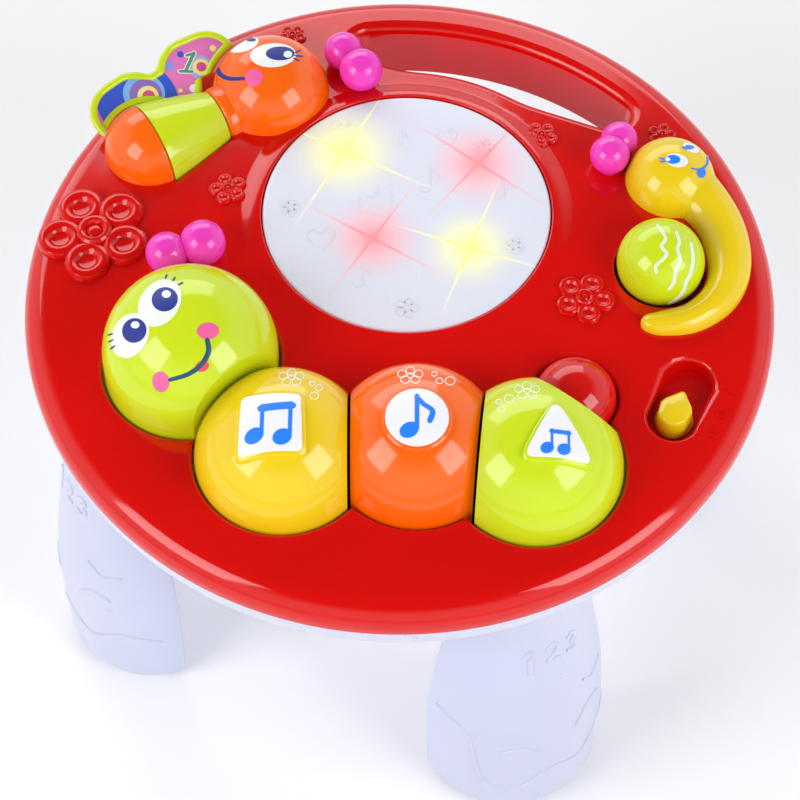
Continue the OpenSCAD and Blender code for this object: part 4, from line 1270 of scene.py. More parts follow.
@dataclass
class Keys:
    """Three domed keys with raised labels, ink notes and outline ornaments, and the tail dome."""

    table: Table = TABLE
    height: float = 195.0
    looks: tuple = ((YELLOW, "key_yellow"), (ORANGE, "key_orange"), (LIME, "lime"))
    signs: tuple = ((Note.PAIR, (-51.5, -90.6), 17.0), (Note.QUAVER, (6.4, -88.0), 17.0),
                    (Note.BEAMED, (62.6, -98.6), 12.0))
    ornaments: tuple = (
        ((-45.0, -46.5), (((-36.5, -49.5), 1.1), ((-33.6, -51.6), 1.5), ((-35.4, -55.5), 1.8))),
        ((4.5, -45.5), (((14.5, -44.8), 1.1), ((16.6, -48.2), 1.4), ((21.0, -48.2), 2.0))),
        ((53.0, -53.0), (((45.5, -57.0), 2.0), ((41.2, -58.5), 1.2), ((42.4, -62.0), 1.4))))
    first_gap: Point = (-20.5, -83.8)
    second_gap: Point = (33.0, -83.0)
    tail_gap: Point = (70.5, -63.0)

    def outline(self, index: int, grow: float) -> list[Point]:
        """Plan outline of a label: a square, a circle or a triangle with round corners.

        Args:
            index: Which key.
            grow: Distance by which it is grown.
        Returns:
            The outline.
        """
        if index == 1:
            return ellipse((7.0, -88.0), (12.8 + grow, 12.8 + grow), count=72)
        if index == 0:
            corners = [(-64.5 - grow, -103.5 - grow), (-38.5 + grow, -102.5 - grow),
                       (-39.5 + grow, -77.5 + grow), (-63.5 - grow, -77.5 + grow)]
            return rounded(corners, 2.4 + grow)
        corners = [(49.0 - 1.6 * grow, -106.0 - grow), (77.5 + 1.6 * grow, -106.0 - grow),
                   (62.6, -80.0 + 1.8 * grow)]
        return rounded(corners, 3.0 + grow)

    def note(self, sign: Note, at: Point, size: float, place: Place) -> list[bmesh.types.BMesh]:
        """Ink shapes of one music sign.

        Args:
            sign: Which sign.
            at: Its middle, in plan.
            size: Its height.
            place: The label's surface.
        Returns:
            The shapes.
        """
        s, lift, sink = size / 16, 1.28, -0.9
        heads, lines = sign.value
        shapes = [patch(ellipse((at[0] + x * s, at[1] + y * s), (3.7 * s, 2.9 * s), 22), place, lift, sink)
                  for x, y in heads]
        for width, *points in lines:
            path = [(at[0] + x * s, at[1] + y * s) for x, y in points]
            shapes.append(stroke(path, width * s, place, lift + 0.02, sink=sink))
        return shapes

    def ornament(self, at: Point, bubbles: tuple, place: Place) -> list[bmesh.types.BMesh]:
        """A printed outline flower with a few bubbles.

        Args:
            at: Its middle.
            bubbles: Place and radius of each bubble.
            place: The key's surface.
        Returns:
            The rings.
        """
        turns = [math.radians(72 * k + 18) for k in range(5)]
        rings = [((at[0] + 3.6 * math.cos(a), at[1] + 2.5 * math.sin(a)), 1.8) for a in turns] + [(at, 1.2)]
        return [ring(spot, radius, 0.36, place) for spot, radius in rings + list(bubbles)]

    def build_key(self, index: int, planes: tuple[Plane, ...]) -> None:
        """Makes one key with its label, note and ornament.

        Args:
            index: Which key.
            planes: Planes that part it from its neighbours.
        """
        centre, radius = Vector((*self.table.keys[index], self.height)), self.table.key_r
        back = max(y for _, y in self.outline(index, 0))
        # The label stands proud of the dome towards the player.
        label_top = self.table.above_ball(centre, radius, lambda x, y: 0.045 * (back - y))
        name, (finish, slot) = f"key_{index + 1}", self.looks[index]
        frame_of_label = patch(self.outline(index, 1.5), label_top, 0.75, shoulder=0.09)
        Dome(name, name, centre, radius, finish, slot, planes).build([frame_of_label])
        label = patch(self.outline(index, 0), label_top, 1.15, -0.4, shoulder=0.02)
        label_node = f"key_label_{index + 1}"
        piece(f"label_{index + 1}_plate", label, LABEL_WHITE, name, "label_white", (label_node,))
        note = gathered(self.note(*self.signs[index], label_top))
        piece(f"label_{index + 1}_note", note, INK_BLUE, name, "label_white")
        ornament = gathered(self.ornament(*self.ornaments[index], self.table.seen_on(centre, radius)))
        piece(f"key_{index + 1}_ornament", ornament, INK_WHITE, name, "label_white")

    def build(self) -> None:
        """Makes the keys from left to right, and the tail dome."""
        t = self.table
        planes = ((Plane(self.first_gap, 0), Plane(*between(t.keys[0], t.face))),
                  (Plane(self.first_gap, 180), Plane(self.second_gap, -5.7)),
                  (Plane(self.second_gap, 174.3), Plane(self.tail_gap, 52.5, -22.0)))
        for index in range(3):
            self.build_key(index, planes[index])
        Dome("tail_button", "tail", Vector((*t.tail, 196.5)), t.tail_r, BUTTON_RED, "cover_red",
             (Plane(self.tail_gap, 232.5, 22.0),), stop_z=188.9, seat_r=6.1, press=(5.32, 6.93)).build([])


@dataclass
class Eye:
    """One printed eye: its white, iris, glint and lashes, in seen coordinates."""

    white: tuple[Point, Point, float]
    iris: tuple[Point, Point]
    glint: tuple[Point, float]
    lashes: tuple = ()

    def build(self, place: Place) -> tuple[list[bmesh.types.BMesh], list[bmesh.types.BMesh]]:
        """Lays the eye on a ball.

        Args:
            place: The ball's surface, as it is seen.
        Returns:
            The white shapes and the dark shapes.
        """
        centre, half, turn = self.white
        glint, glint_r = self.glint
        white = [patch(ellipse(centre, half, turn), place, 0.1),
                 patch(ellipse(glint, (glint_r, glint_r)), place, 0.24)]
        lashes = [stroke(list(line), 0.9, place, 0.2, 5, 0.45) for line in self.lashes]
        return white, [patch(ellipse(*self.iris), place, 0.17)] + lashes


def dress_eyes(eyes: tuple[Eye, Eye], place: Place, names: tuple[str, str], dark: Moulding,
               body: str) -> None:
    """Makes a pair of printed eyes as one white piece and one dark piece.

    Args:
        eyes: The two eyes.
        place: The ball's surface, as it is seen.
        names: Names of the white piece and the dark piece.
        dark: Ink of the dark piece.
        body: The body that they ride on.
    """
    shapes = [eye.build(place) for eye in eyes]
    for side, name, ink in ((0, names[0], INK_WHITE), (1, names[1], dark)):
        piece(name, gathered(form for pair in shapes for form in pair[side]), ink, body, "label_white")


@dataclass
class FaceButton:
    """The big face button with its two feelers."""

    table: Table = TABLE
    height: float = 206.0
    eyes: tuple = (
        Eye(((-101.5, -9.0), (8.6, 12.4), -18.0), ((-99.4, -7.2), (5.5, 6.2)), ((-98.8, -4.6), 1.9),
            (((-96.6, 2.2), (-95.4, 4.2)), ((-99.6, 3.6), (-99.1, 5.7)), ((-94.0, 0.2), (-92.0, 1.6)))),
        Eye(((-113.2, -25.5), (7.6, 11.4), -12.0), ((-111.5, -23.0), (5.1, 6.2)), ((-111.2, -20.2), 1.8),
            (((-120.0, -27.6), (-122.2, -28.9)), ((-119.2, -30.6), (-121.2, -32.4)),
             ((-120.4, -24.6), (-122.6, -25.4)))))
    smile: tuple = ((-80.8, -27.5), (-80.0, -33.5), (-82.6, -39.8), (-88.0, -44.8), (-95.5, -47.6))
    cheeks: tuple = (((-80.6, -23.2), (4.6, 4.2), 0), ((-99.3, -48.6), (3.5, 5.2), 10))
    tongue: tuple = ((-82.4, -40.9), (3.0, 2.6), 40)

    def build(self) -> None:
        """Makes the head, its printed face and its feelers."""
        t, centre = self.table, Vector((*self.table.face, self.height))
        Dome("head_button", "head", centre, t.face_r, LIME, "lime", (Plane(*between(t.face, t.keys[0])),),
             stop_z=188.9).build([])
        place = t.seen_on(centre, t.face_r)
        dress_eyes(self.eyes, place, ("face_eye_whites", "face_eye_dark"), INK_NAVY, "head")
        cheeks = gathered(patch(ellipse(*cheek), place, 0.14) for cheek in self.cheeks)
        prints = (("face_smile", stroke(list(self.smile), 2.3, place, 0.2, 8, 0.8), INK_TEAL),
                  ("face_cheeks", cheeks, INK_PINK),
                  ("face_tongue", patch(ellipse(*self.tongue), place, 0.12), INK_ROSE))
        for name, form, ink in prints:
            piece(name, form, ink, "head", "label_white")
        Feelers("head_feelers", "head_antennae", ((-83.3, 12.8), 9.75), ((-98.5, 8.5), 9.0)).build()


@dataclass
class Feelers:
    """Two joined balls that stand on the cover."""

    name: str
    node: str
    first: tuple[Point, float]
    second: tuple[Point, float]
    foot: float = 0.12
    waist: Point = (3.4, 3.0)
    table: Table = TABLE

    def build(self) -> None:
        """Makes the balls, a bridge between them and their seats."""
        parts, middles = [], []
        for (x, y), radius in (self.first, self.second):
            top = self.table.top_at(x, y)
            middle = top + 0.9 * radius
            middles.append(Vector((x, y, middle)))
            side = [(r, z) for r, z in ball_side(radius, middle, 32, 180, 37) if z > top + 0.6]
            profile = [(0.0, top + self.foot), (radius * 0.62, top + self.foot)]
            profile += side[:-1] + [(0.0, middle + radius)]
            parts.append(moved(turned(profile, 72), Matrix.Translation((x, y, 0))))
        across = middles[1] - middles[0]
        (wide, thin), long = self.waist, across.length
        bridge = turned([(0, 0), (wide, 0), (thin, long * 0.5), (wide, long), (0, long)], 32)
        turn = across.to_track_quat("Z", "Y").to_matrix().to_4x4()
        parts.append(moved(bridge, Matrix.Translation(middles[0]) @ turn))
        piece(self.name, gathered(parts), PINK, "casing", "pink", (self.node,))


# ---------------------------------------------------------------- butterfly


@dataclass
class Butterfly:
    """The butterfly: a fixed head and tail with a turning band that carries the wing page."""

    table: Table = TABLE
    at: Vector = field(default_factory=lambda: Vector((-80.4, 88.0, 196.0)))
    turn: float = 31.0
    small_r: float = 13.4
    big_r: float = 21.0
    band: float = 32.0
    neck: float = 27.3
    head_r: float = 26.0
    tilt: float = 20.0
    middle: Point = (-11.0, 24.0)
    lobes: tuple = (((-36.0, 21.0), 14.6), ((-28.5, 22.3), 14.6), ((-13.0, 19.5), 12.5),
                    ((1.0, 25.0), 15.6), ((9.5, 26.3), 14.0))
    rim: tuple = ((1.6, -1.5), (0.9, -1.42), (0.35, -1.1), (0.0, -0.4), (0.0, 0.6), (0.35, 1.4), (1.0, 1.9),
                  (1.8, 2.0), (2.6, 1.8), (3.1, 1.3), (3.3, 0.9))
    print_inset: float = 3.1
    spots: tuple = (
        ((-27.7, 22.4), 18.0, (60, 92, 206)), ((-23.5, 24.3), 9.3, (130, 180, 238)),
        ((-23.0, 23.6), 7.2, (146, 112, 196)), ((-22.4, 22.6), 4.7, (244, 232, 140)),
        ((-22.2, 22.4), 2.8, (216, 84, 150)), ((4.9, 24.5), 5.6, (176, 170, 235)),
        ((5.2, 24.4), 3.9, (244, 232, 140)), ((5.3, 24.4), 2.3, (216, 84, 150)),
        ((-0.3, 33.6), 1.6, (60, 92, 206)), ((-7.7, 31.1), 2.6, (150, 150, 230)),
        ((14.1, 29.9), 1.5, (244, 232, 140)), ((-2.6, 16.9), 2.0, (250, 240, 250)),
        ((12.6, 21.6), 1.1, (250, 220, 240)), ((5.2, 17.4), 1.3, (244, 232, 140)),
        ((-8.4, 18.6), 1.0, (244, 232, 140)))
    numeral: tuple = (((5.3, 31.4), (-1.9, 25.7), 1.0), ((2.0, 31.9), (5.3, 31.4), 0.85),
                      ((-4.2, 26.6), (0.4, 24.2), 0.85))
    eyes: tuple = (
        Eye(((-56.5, 124.6), (10.2, 6.8), 4.0), ((-53.4, 125.6), (6.4, 3.9)), ((-50.0, 125.0), 1.9),
            (((-47.0, 124.4), (-43.2, 124.0)), ((-47.4, 123.0), (-44.8, 121.4)),
             ((-47.0, 125.8), (-44.2, 127.6)))),
        Eye(((-70.5, 131.0), (7.6, 4.4), 20.0), ((-66.6, 133.4), (2.2, 1.0)), ((-69.0, 131.4), 0.8)))
    smile: tuple = ((-81.0, 117.0), (-79.6, 113.6), (-75.6, 111.4), (-69.4, 111.4))

    @property
    def axis(self) -> Matrix:
        """Places a shape made along +X from the narrow end."""
        return Matrix.Translation(self.at) @ Matrix.Rotation(math.radians(self.turn), 4, "Z")

    @property
    def upright(self) -> Matrix:
        """Places a shape made along +Z on the body's axis."""
        return self.axis @ Matrix.Rotation(math.radians(90), 4, "Y")

    def cone(self, grow: float, gap: float) -> bmesh.types.BMesh:
        """Solid of the turning band, grown by a gap."""
        wide, thin, end = self.big_r + grow, self.small_r + grow, -self.band - gap
        return moved(turned([(0, end), (wide, end), (thin, gap), (0, gap)], 96), self.upright)

    def tail_ball(self, grow: float) -> bmesh.types.BMesh:
        """The tail's ball, grown by a gap, as a cutter."""
        return moved(turned(ball_side(self.big_r + grow, -self.band, 0, 180, 32), 64), self.upright)

    def wing_place(self, x: float, y: float, lift: float) -> Vector:
        """A point of the wing's plane: along the body, away from it, and above."""
        return self.axis @ Matrix.Rotation(math.radians(self.tilt), 4, "X") @ Vector((x, y, lift))

    def depth(self, x: float, y: float) -> float:
        """How far a point of the wing's plane is inside the wing's outline.

        Args:
            x: Distance along the body.
            y: Distance from the body's axis.
        Returns:
            The depth, negative outside.
        """
        melt = 1.1
        blend = sum(math.exp((radius - math.dist((x, y), centre)) / melt) for centre, radius in self.lobes)
        fall = 7.0 / 30.0 if x > -31.0 else -2.0
        root = (y - 17.9 + fall * (x + 31.0)) / math.hypot(1.0, fall)
        head = math.dist((x, y), (self.neck, 0.0)) - self.head_r - 1.3
        chamfer = ((y - 12.0) * 3.5 - (x + 0.8) * 7.0) / math.hypot(3.5, 7.0) if y < 20.0 else head
        return min(melt * math.log(blend) - 0.4, root, head, chamfer)

    def outline(self, inset: float) -> list[Point]:
        """Outline of the wing, seen from its middle.

        Args:
            inset: Distance by which it is moved inwards.
        Returns:
            The outline.
        """
        (x, y), count, reach, points = self.middle, 200, 44.0, []
        for i in range(count):
            c, s = math.cos(math.tau * i / count), math.sin(math.tau * i / count)
            near, far = reach, reach
            while self.depth(x + c * near, y + s * near) < inset:
                near, far = near - 0.5, near
            for _ in range(12):
                half = (near + far) / 2
                inside = self.depth(x + c * half, y + s * half) > inset
                near, far = (half, far) if inside else (near, half)
            points.append((x + c * near, y + s * near))
        return points

    def closing(self, edge: list[Point], lift: float) -> list[Loop]:
        """Two smaller loops that carry a flat face in towards the wing's middle."""
        x0, y0 = self.middle
        return [[self.wing_place(x0 + (x - x0) * k, y0 + (y - y0) * k, lift) for x, y in edge]
                for k in (0.6, 0.2)]

    def build(self) -> None:
        """Makes the tail, the band with its wing, and the head with its face."""
        r, thin = self.big_r, self.small_r
        tail = ball_side(r, -self.band, 0, 88, 22)
        tail += [(r - 0.15, -self.band - 0.6), (r - 0.6, -self.band - 0.3), (0, -self.band - 0.3)]
        head = [(0, 0.3), (thin - 0.6, 0.3), (thin - 0.1, 0.7)]
        head += [(thin + 0.5 * math.sin(math.pi * k / 8), 0.8 + 0.45 * k) for k in range(1, 5)]
        start = math.degrees(math.asin((thin + 0.5) / self.head_r))
        head += ball_side(self.head_r, self.neck, start, 180, 44)
        for part, profile, steps in (("tail", tail, 112), ("head", head, 144)):
            solid = moved(turned(profile, steps), self.upright)
            form = joined(solid, self.table.ground(170, 150, 0.1), Join.CUT)
            piece(f"fly_{part}", form, ORANGE, "casing", "key_orange", (f"butterfly_{part}",))
        self.build_wing()
        self.build_face()
        Feelers("fly_feelers", "butterfly_antennae", ((-17, 107), 9.5), ((-25, 119), 8.5)).build()

    def build_wing(self) -> None:
        """Makes the lime band and wing rim, the printed field and the numeral."""
        r, thin, end = self.big_r, self.small_r, -self.band
        band = [(0, end), (r - 0.9, end), (r - 0.25, end + 0.25), (r - 0.2, end + 0.9)]
        band += [(r + (thin - r) * k / 12 + 0.55 * math.sin(math.pi * k / 12), end - end * k / 12)
                 for k in range(1, 12)]
        band += [(thin + 0.1, -0.9), (thin - 0.1, -0.25), (thin - 0.8, 0), (0, 0)]
        loops = [[self.wing_place(x, y, z) for x, y in self.outline(by)] for by, z in self.rim]
        page = joined(lofted(loops + self.closing(self.outline(self.rim[-1][0]), self.rim[-1][1])),
                      self.tail_ball(0.9), Join.CUT)
        piece("wing_rim", gathered([moved(turned(band, 120), self.upright), page]), LIME, "wing", "lime",
              ("wing_page",), 40)
        finish = WingPrint("wing print", (226, 120, 190), gloss=0.32, origin=(self.at.x, self.at.y),
                           height=self.at.z, heading=self.turn, tilt=self.tilt, spots=self.spots)
        edge = self.outline(self.print_inset)
        layers = [[self.wing_place(x, y, z) for x, y in edge] for z in (0.5, 1.0)] + self.closing(edge, 1.0)
        piece("wing_print", joined(lofted(layers), self.tail_ball(3.6), Join.CUT), finish, "wing",
              "label_white")
        inks = (("wing_numeral_edge", 2.9, 1.1, INK_WHITE), ("wing_numeral", 1.8, 1.18, INK_GREEN))
        for name, width, lift, ink in inks:
            lines = [stroke([start, stop], width * share, self.wing_place, lift + 0.01 * i, sink=-0.7)
                     for i, (start, stop, share) in enumerate(self.numeral)]
            piece(name, gathered(lines), ink, "wing", "label_white")

    def build_face(self) -> None:
        """Prints the face on the head."""
        place = self.table.seen_on(self.axis @ Vector((self.neck, 0, 0)), self.head_r)
        dress_eyes(self.eyes, place, ("fly_eye_whites", "fly_eye_dark"), INK_NAVY, "casing")
        cheek = patch(ellipse((-64.8, 112.0), (4.0, 5.0)), place, 0.14)
        piece("fly_cheek", cheek, INK_PINK, "casing", "label_white")
        smile = stroke(list(self.smile), 2.3, place, 0.2, 8, 0.75)
        piece("fly_smile", smile, INK_NAVY, "casing", "label_white")


# ---------------------------------------------------------------- worm and ball


@dataclass
class Worm:
    """A worm with a ball head whose body curls round the spinning ball."""

    table: Table = TABLE
    head: Point = (117.3, 53.0)
    head_r: float = 19.7
    route: tuple = ((117, 53), (128, 45), (137, 31), (140.5, 16), (139.5, 2), (133.5, -10), (122.5, -19),
                    (110, -22), (105, -22))
    radii: tuple = (15.5, 12.6, 10.6, 9.8, 8.9, 7.9, 6.8, 5.8, 4.6)
    tip: float = 4.2
    ball_z: float = 203.3
    ball_r: float = 18.7
    bore_r: float = 3.1
    eyes: tuple = (
        Eye(((121.0, 66.2), (5.0, 3.7), -16.0), ((119.4, 66.6), (3.2, 2.4)), ((117.2, 66.6), 1.0),
            (((115.8, 66.8), (113.4, 67.4)), ((116.0, 65.8), (113.6, 65.2)))),
        Eye(((127.6, 73.0), (4.0, 2.0), -36.0), ((126.4, 73.2), (2.6, 1.2)), ((124.8, 74.0), 0.5)))
    smile: tuple = ((127.4, 61.8), (131.0, 61.2), (134.2, 64.2), (134.6, 69.0))
    waves: tuple = (
        ((111.0, 31.3), (114.2, 24.7), (112.2, 20.4), (114.2, 16.5), (112.0, 13.0), (109.4, 10.2),
         (109.3, 6.6)),
        ((118.9, 27.7), (120.0, 22.6), (119.0, 18.9), (119.8, 13.1), (117.6, 7.4), (116.6, 1.6),
         (114.3, -2.0)),
        ((125.0, 21.8), (125.4, 13.1), (123.8, 5.9), (121.8, 1.6), (120.6, -2.7), (117.4, -7.0),
         (113.9, -9.8)))

    def body(self) -> bmesh.types.BMesh:
        """The head and the curled body, blended and cut to the crown.

        Returns:
            The solid.
        """
        t, loops = self.table, []
        line = smooth_line([(x, y, r) for (x, y), r in zip(self.route, self.radii)], 8)
        spots = [Vector((p.x, p.y, t.top_at(p.x, p.y) + 0.5)) for p in line]
        for i, spot in enumerate(spots):
            ahead = (spots[min(i + 1, len(spots) - 1)] - spots[max(i - 1, 0)]).normalized()
            side = ahead.cross(Vector((0, 0, 1))).normalized()
            up = side.cross(ahead)
            turns = [math.tau * k / 40 for k in range(40)]
            loops.append([spot + line[i].z * (side * math.cos(a) + up * math.sin(a)) for a in turns])
        end, ahead, edge = spots[-1], (spots[-1] - spots[-2]).normalized(), loops[-1]
        for k in range(1, 5):
            turn = math.pi / 2 * k / 4.3
            loops.append([end + ahead * self.tip * math.sin(turn) + (p - end) * math.cos(turn) for p in edge])
        ball = turned(ball_side(self.head_r, 0.0, 0, 180, 40), 80)
        moved(ball, Matrix.Translation((*self.head, t.top_at(*self.head))))

        def blend(subject: bpy.types.Object) -> None:
            """Melts the two together.

            Args:
                subject: The object that takes the modifiers.
            """
            melt = subject.modifiers.new("melt", "REMESH")
            melt.mode, melt.voxel_size = "VOXEL", 0.75
            ease = subject.modifiers.new("ease", "SMOOTH")
            ease.factor, ease.iterations = 0.5, 30
        return joined(worked(gathered([lofted(loops), ball]), blend), t.ground(170, 150, 0.1), Join.CUT)

    def build_ball(self) -> None:
        """Makes the spinning ball with its bore and its waves."""
        r, z, deep = self.ball_r, self.ball_z, 8.0
        centre = Vector((*self.table.ball, z))
        flat = math.sqrt(r * r - (r - 0.6) ** 2)
        profile = [(self.bore_r, z - r + 0.6), (flat, z - r + 0.6)] + ball_side(r, z, 18, 177, 53)
        profile += [(0, z + r), (0, z + r - deep), (self.bore_r, z + r - deep)]
        ball = moved(turned(profile, 112, True), Matrix.Translation((centre.x, centre.y, 0)))
        piece("ball_moulding", ball, LIME, "ball", "lime", ("spin_ball",))
        seen = self.table.seen_on(centre, r)
        waves = [stroke(list(line), 1.6, seen, 0.12, 8, 0.8) for line in self.waves]
        piece("ball_waves", gathered(waves), INK_PALE, "ball", "label_white")

    def build(self) -> None:
        """Makes the worm, its face, its feelers and the ball."""
        piece("worm_moulding", self.body(), YELLOW, "casing", "key_yellow", ("worm_body",))
        place = self.table.seen_on(Vector((*self.head, self.table.top_at(*self.head))), self.head_r)
        dress_eyes(self.eyes, place, ("worm_eye_whites", "worm_eye_dark"), INK_BLUE, "casing")
        smile = [stroke(list(self.smile), 1.1, place, 0.16, 8, 0.6),
                 patch(ellipse((131.4, 59.4), (1.9, 2.8), -8), place, 0.15)]
        piece("worm_smile", gathered(smile), INK_BLUE, "casing", "label_white")
        Feelers("worm_feelers", "worm_antennae", ((91, 61), 8.6), ((95.5, 70), 8.0)).build()
        self.build_ball()


# ---------------------------------------------------------------- pad, switch, legs


@dataclass
class DrumPad:
    """The lit pad with faint raised motifs, given from its middle."""

    table: Table = TABLE
    radius: float = 62.0
    top: float = 201.6
    wall: float = 2.4
    post: Point = (3.5, 190.6)
    relief: float = 0.28
    heart: tuple = ((0, -7), (-6, -1), (-7, 4), (-3.6, 6.4), (0, 3.2), (3.6, 6.4), (7, 4), (6, -1), (0, -7))
    hearts: tuple = ((-12, 4, 30, 1.1), (24, -26, -20, 0.8), (-36, -14, 10, 0.8), (18, 40, 15, 0.6))
    notes: tuple = ((8, 12, 1.0), (-20, -38, 0.8), (40, 8, 0.8), (-4, 36, 0.7), (-40, 24, 0.7))
    blooms: tuple = ((-28, 44, 3.4), (34, 34, 3.0), (0, -50, 3.2), (-50, 2, 2.8), (46, -18, 2.8))
    lamps: tuple = (((-23.8, 66.3), 28, 28, (250, 246, 110)), ((34.2, 59.8), 38, 25, (250, 120, 120)),
                    ((-11.4, 19.9), 32, 24, (250, 120, 120)), ((30.1, 15.2), 20, 23, (250, 246, 110)))

    def motifs(self) -> list[bmesh.types.BMesh]:
        """Raised hearts, notes and flowers, as faint as on the moulding.

        Returns:
            The shapes.
        """
        def flat(x: float, y: float, lift: float) -> Vector:
            """A point above the pad, from its middle."""
            return Vector((self.table.pad[0] + x, self.table.pad[1] + y, self.top + lift))

        def line(points: list, width: float, per: int) -> bmesh.types.BMesh:
            """A round ridge."""
            return stroke(points, width, flat, self.relief, per, 1.0, True)
        made = []
        for dx, dy, turn, size in self.hearts:
            spin = Matrix.Rotation(math.radians(turn), 2)
            made.append(line([tuple(spin @ Vector(p) * size + Vector((dx, dy))) for p in self.heart], 0.8, 5))
        for dx, dy, size in self.notes:
            stem, high = dx + 2.3 * size, dy + 11 * size
            head = ellipse((dx, dy), (2.6 * size, 2.0 * size), 20)
            made.append(patch(head, flat, self.relief, shoulder=0.2))
            made.append(line([(stem, dy), (stem, high)], 0.8, 6))
            flag = [(stem, high), (dx + 5 * size, dy + 8 * size), (dx + 6 * size, dy + 5 * size)]
            made.append(line(flag, 0.9, 5))
        for dx, dy, size in self.blooms:
            turns = [math.radians(72 * k) for k in range(5)]
            made += [ring((dx + size * math.cos(a), dy + size * math.sin(a)), size * 0.55, 0.6, flat, 0.26)
                     for a in turns]
        return made

    def build(self) -> None:
        """Makes the pad."""
        r, z, ease, (post_r, post_z) = self.radius, self.top, 1.4, self.post
        under = z - self.wall
        face = [(r * k, z) for k in (0, 0.25, 0.5, 0.75)] + [(r - ease, z)]
        face += arc((r - ease, z - ease), ease, 75, 0, 5)
        face += [(r, z - 8), (r - 2, z - 8), (r - 2, under), (post_r, under), (post_r, post_z), (0, post_z)]
        pad = moved(turned(face, 192), Matrix.Translation((*self.table.pad, 0)))
        glow = LitPad("pad milk white", (226, 229, 243), gloss=0.24, soft=0.08, lamps=self.lamps)
        piece("pad_moulding", gathered([pad] + self.motifs()), glow, "pad", "pad_white", ("light_pad",))


@dataclass
class SlideSwitch:
    """The knob of the slide switch: a pointed grip on a round plate."""

    table: Table = TABLE
    floor: float = 188.1
    start: float = 3.5
    plate: tuple = ((0, 0), (7.7, 0), (8, 0.3), (8, 1.3), (7.7, 1.6), (0, 1.6))
    half: float = 6.9
    steps: tuple = ((0.5, 1.0), (0.3, 2.2), (0.1, 8.0), (0.0, 9.8), (-0.4, 10.5), (-1.1, 10.9),
                    (-2.4, 11.1))

    def outline(self, grow: float) -> list[Point]:
        """The grip's outline with round shoulders and a blunt point.

        Args:
            grow: Distance by which it is moved outwards.
        Returns:
            The outline.
        """
        half = self.half + grow
        return (arc((-1.4, 0), half, 120, 240, 14) + [(1.2, -half), (3.6, -half * 0.86)]
                + arc((8.8 + grow, 0), 1.3, -60, 60, 6) + [(3.6, half * 0.86), (1.2, half)])

    def build(self) -> None:
        """Makes the knob."""
        spin = (Matrix.Translation((*self.table.switch, self.floor))
                @ Matrix.Rotation(math.radians(self.table.switch_turn), 4, "Z")
                @ Matrix.Translation((self.start, 0, 0)))
        grip = lofted([[spin @ Vector((x, y, z - 0.12 * x * (z > 5))) for x, y in self.outline(grow)]
                       for grow, z in self.steps])
        stem = turned([(0, -4.6), (2, -4.6), (2, 0.5), (0, 0.5)], 32)
        form = gathered([moved(turned(list(self.plate), 72), spin), grip, moved(stem, spin)])
        piece("knob_moulding", form, YELLOW, "knob", "key_yellow", ("switch_knob",), 40)


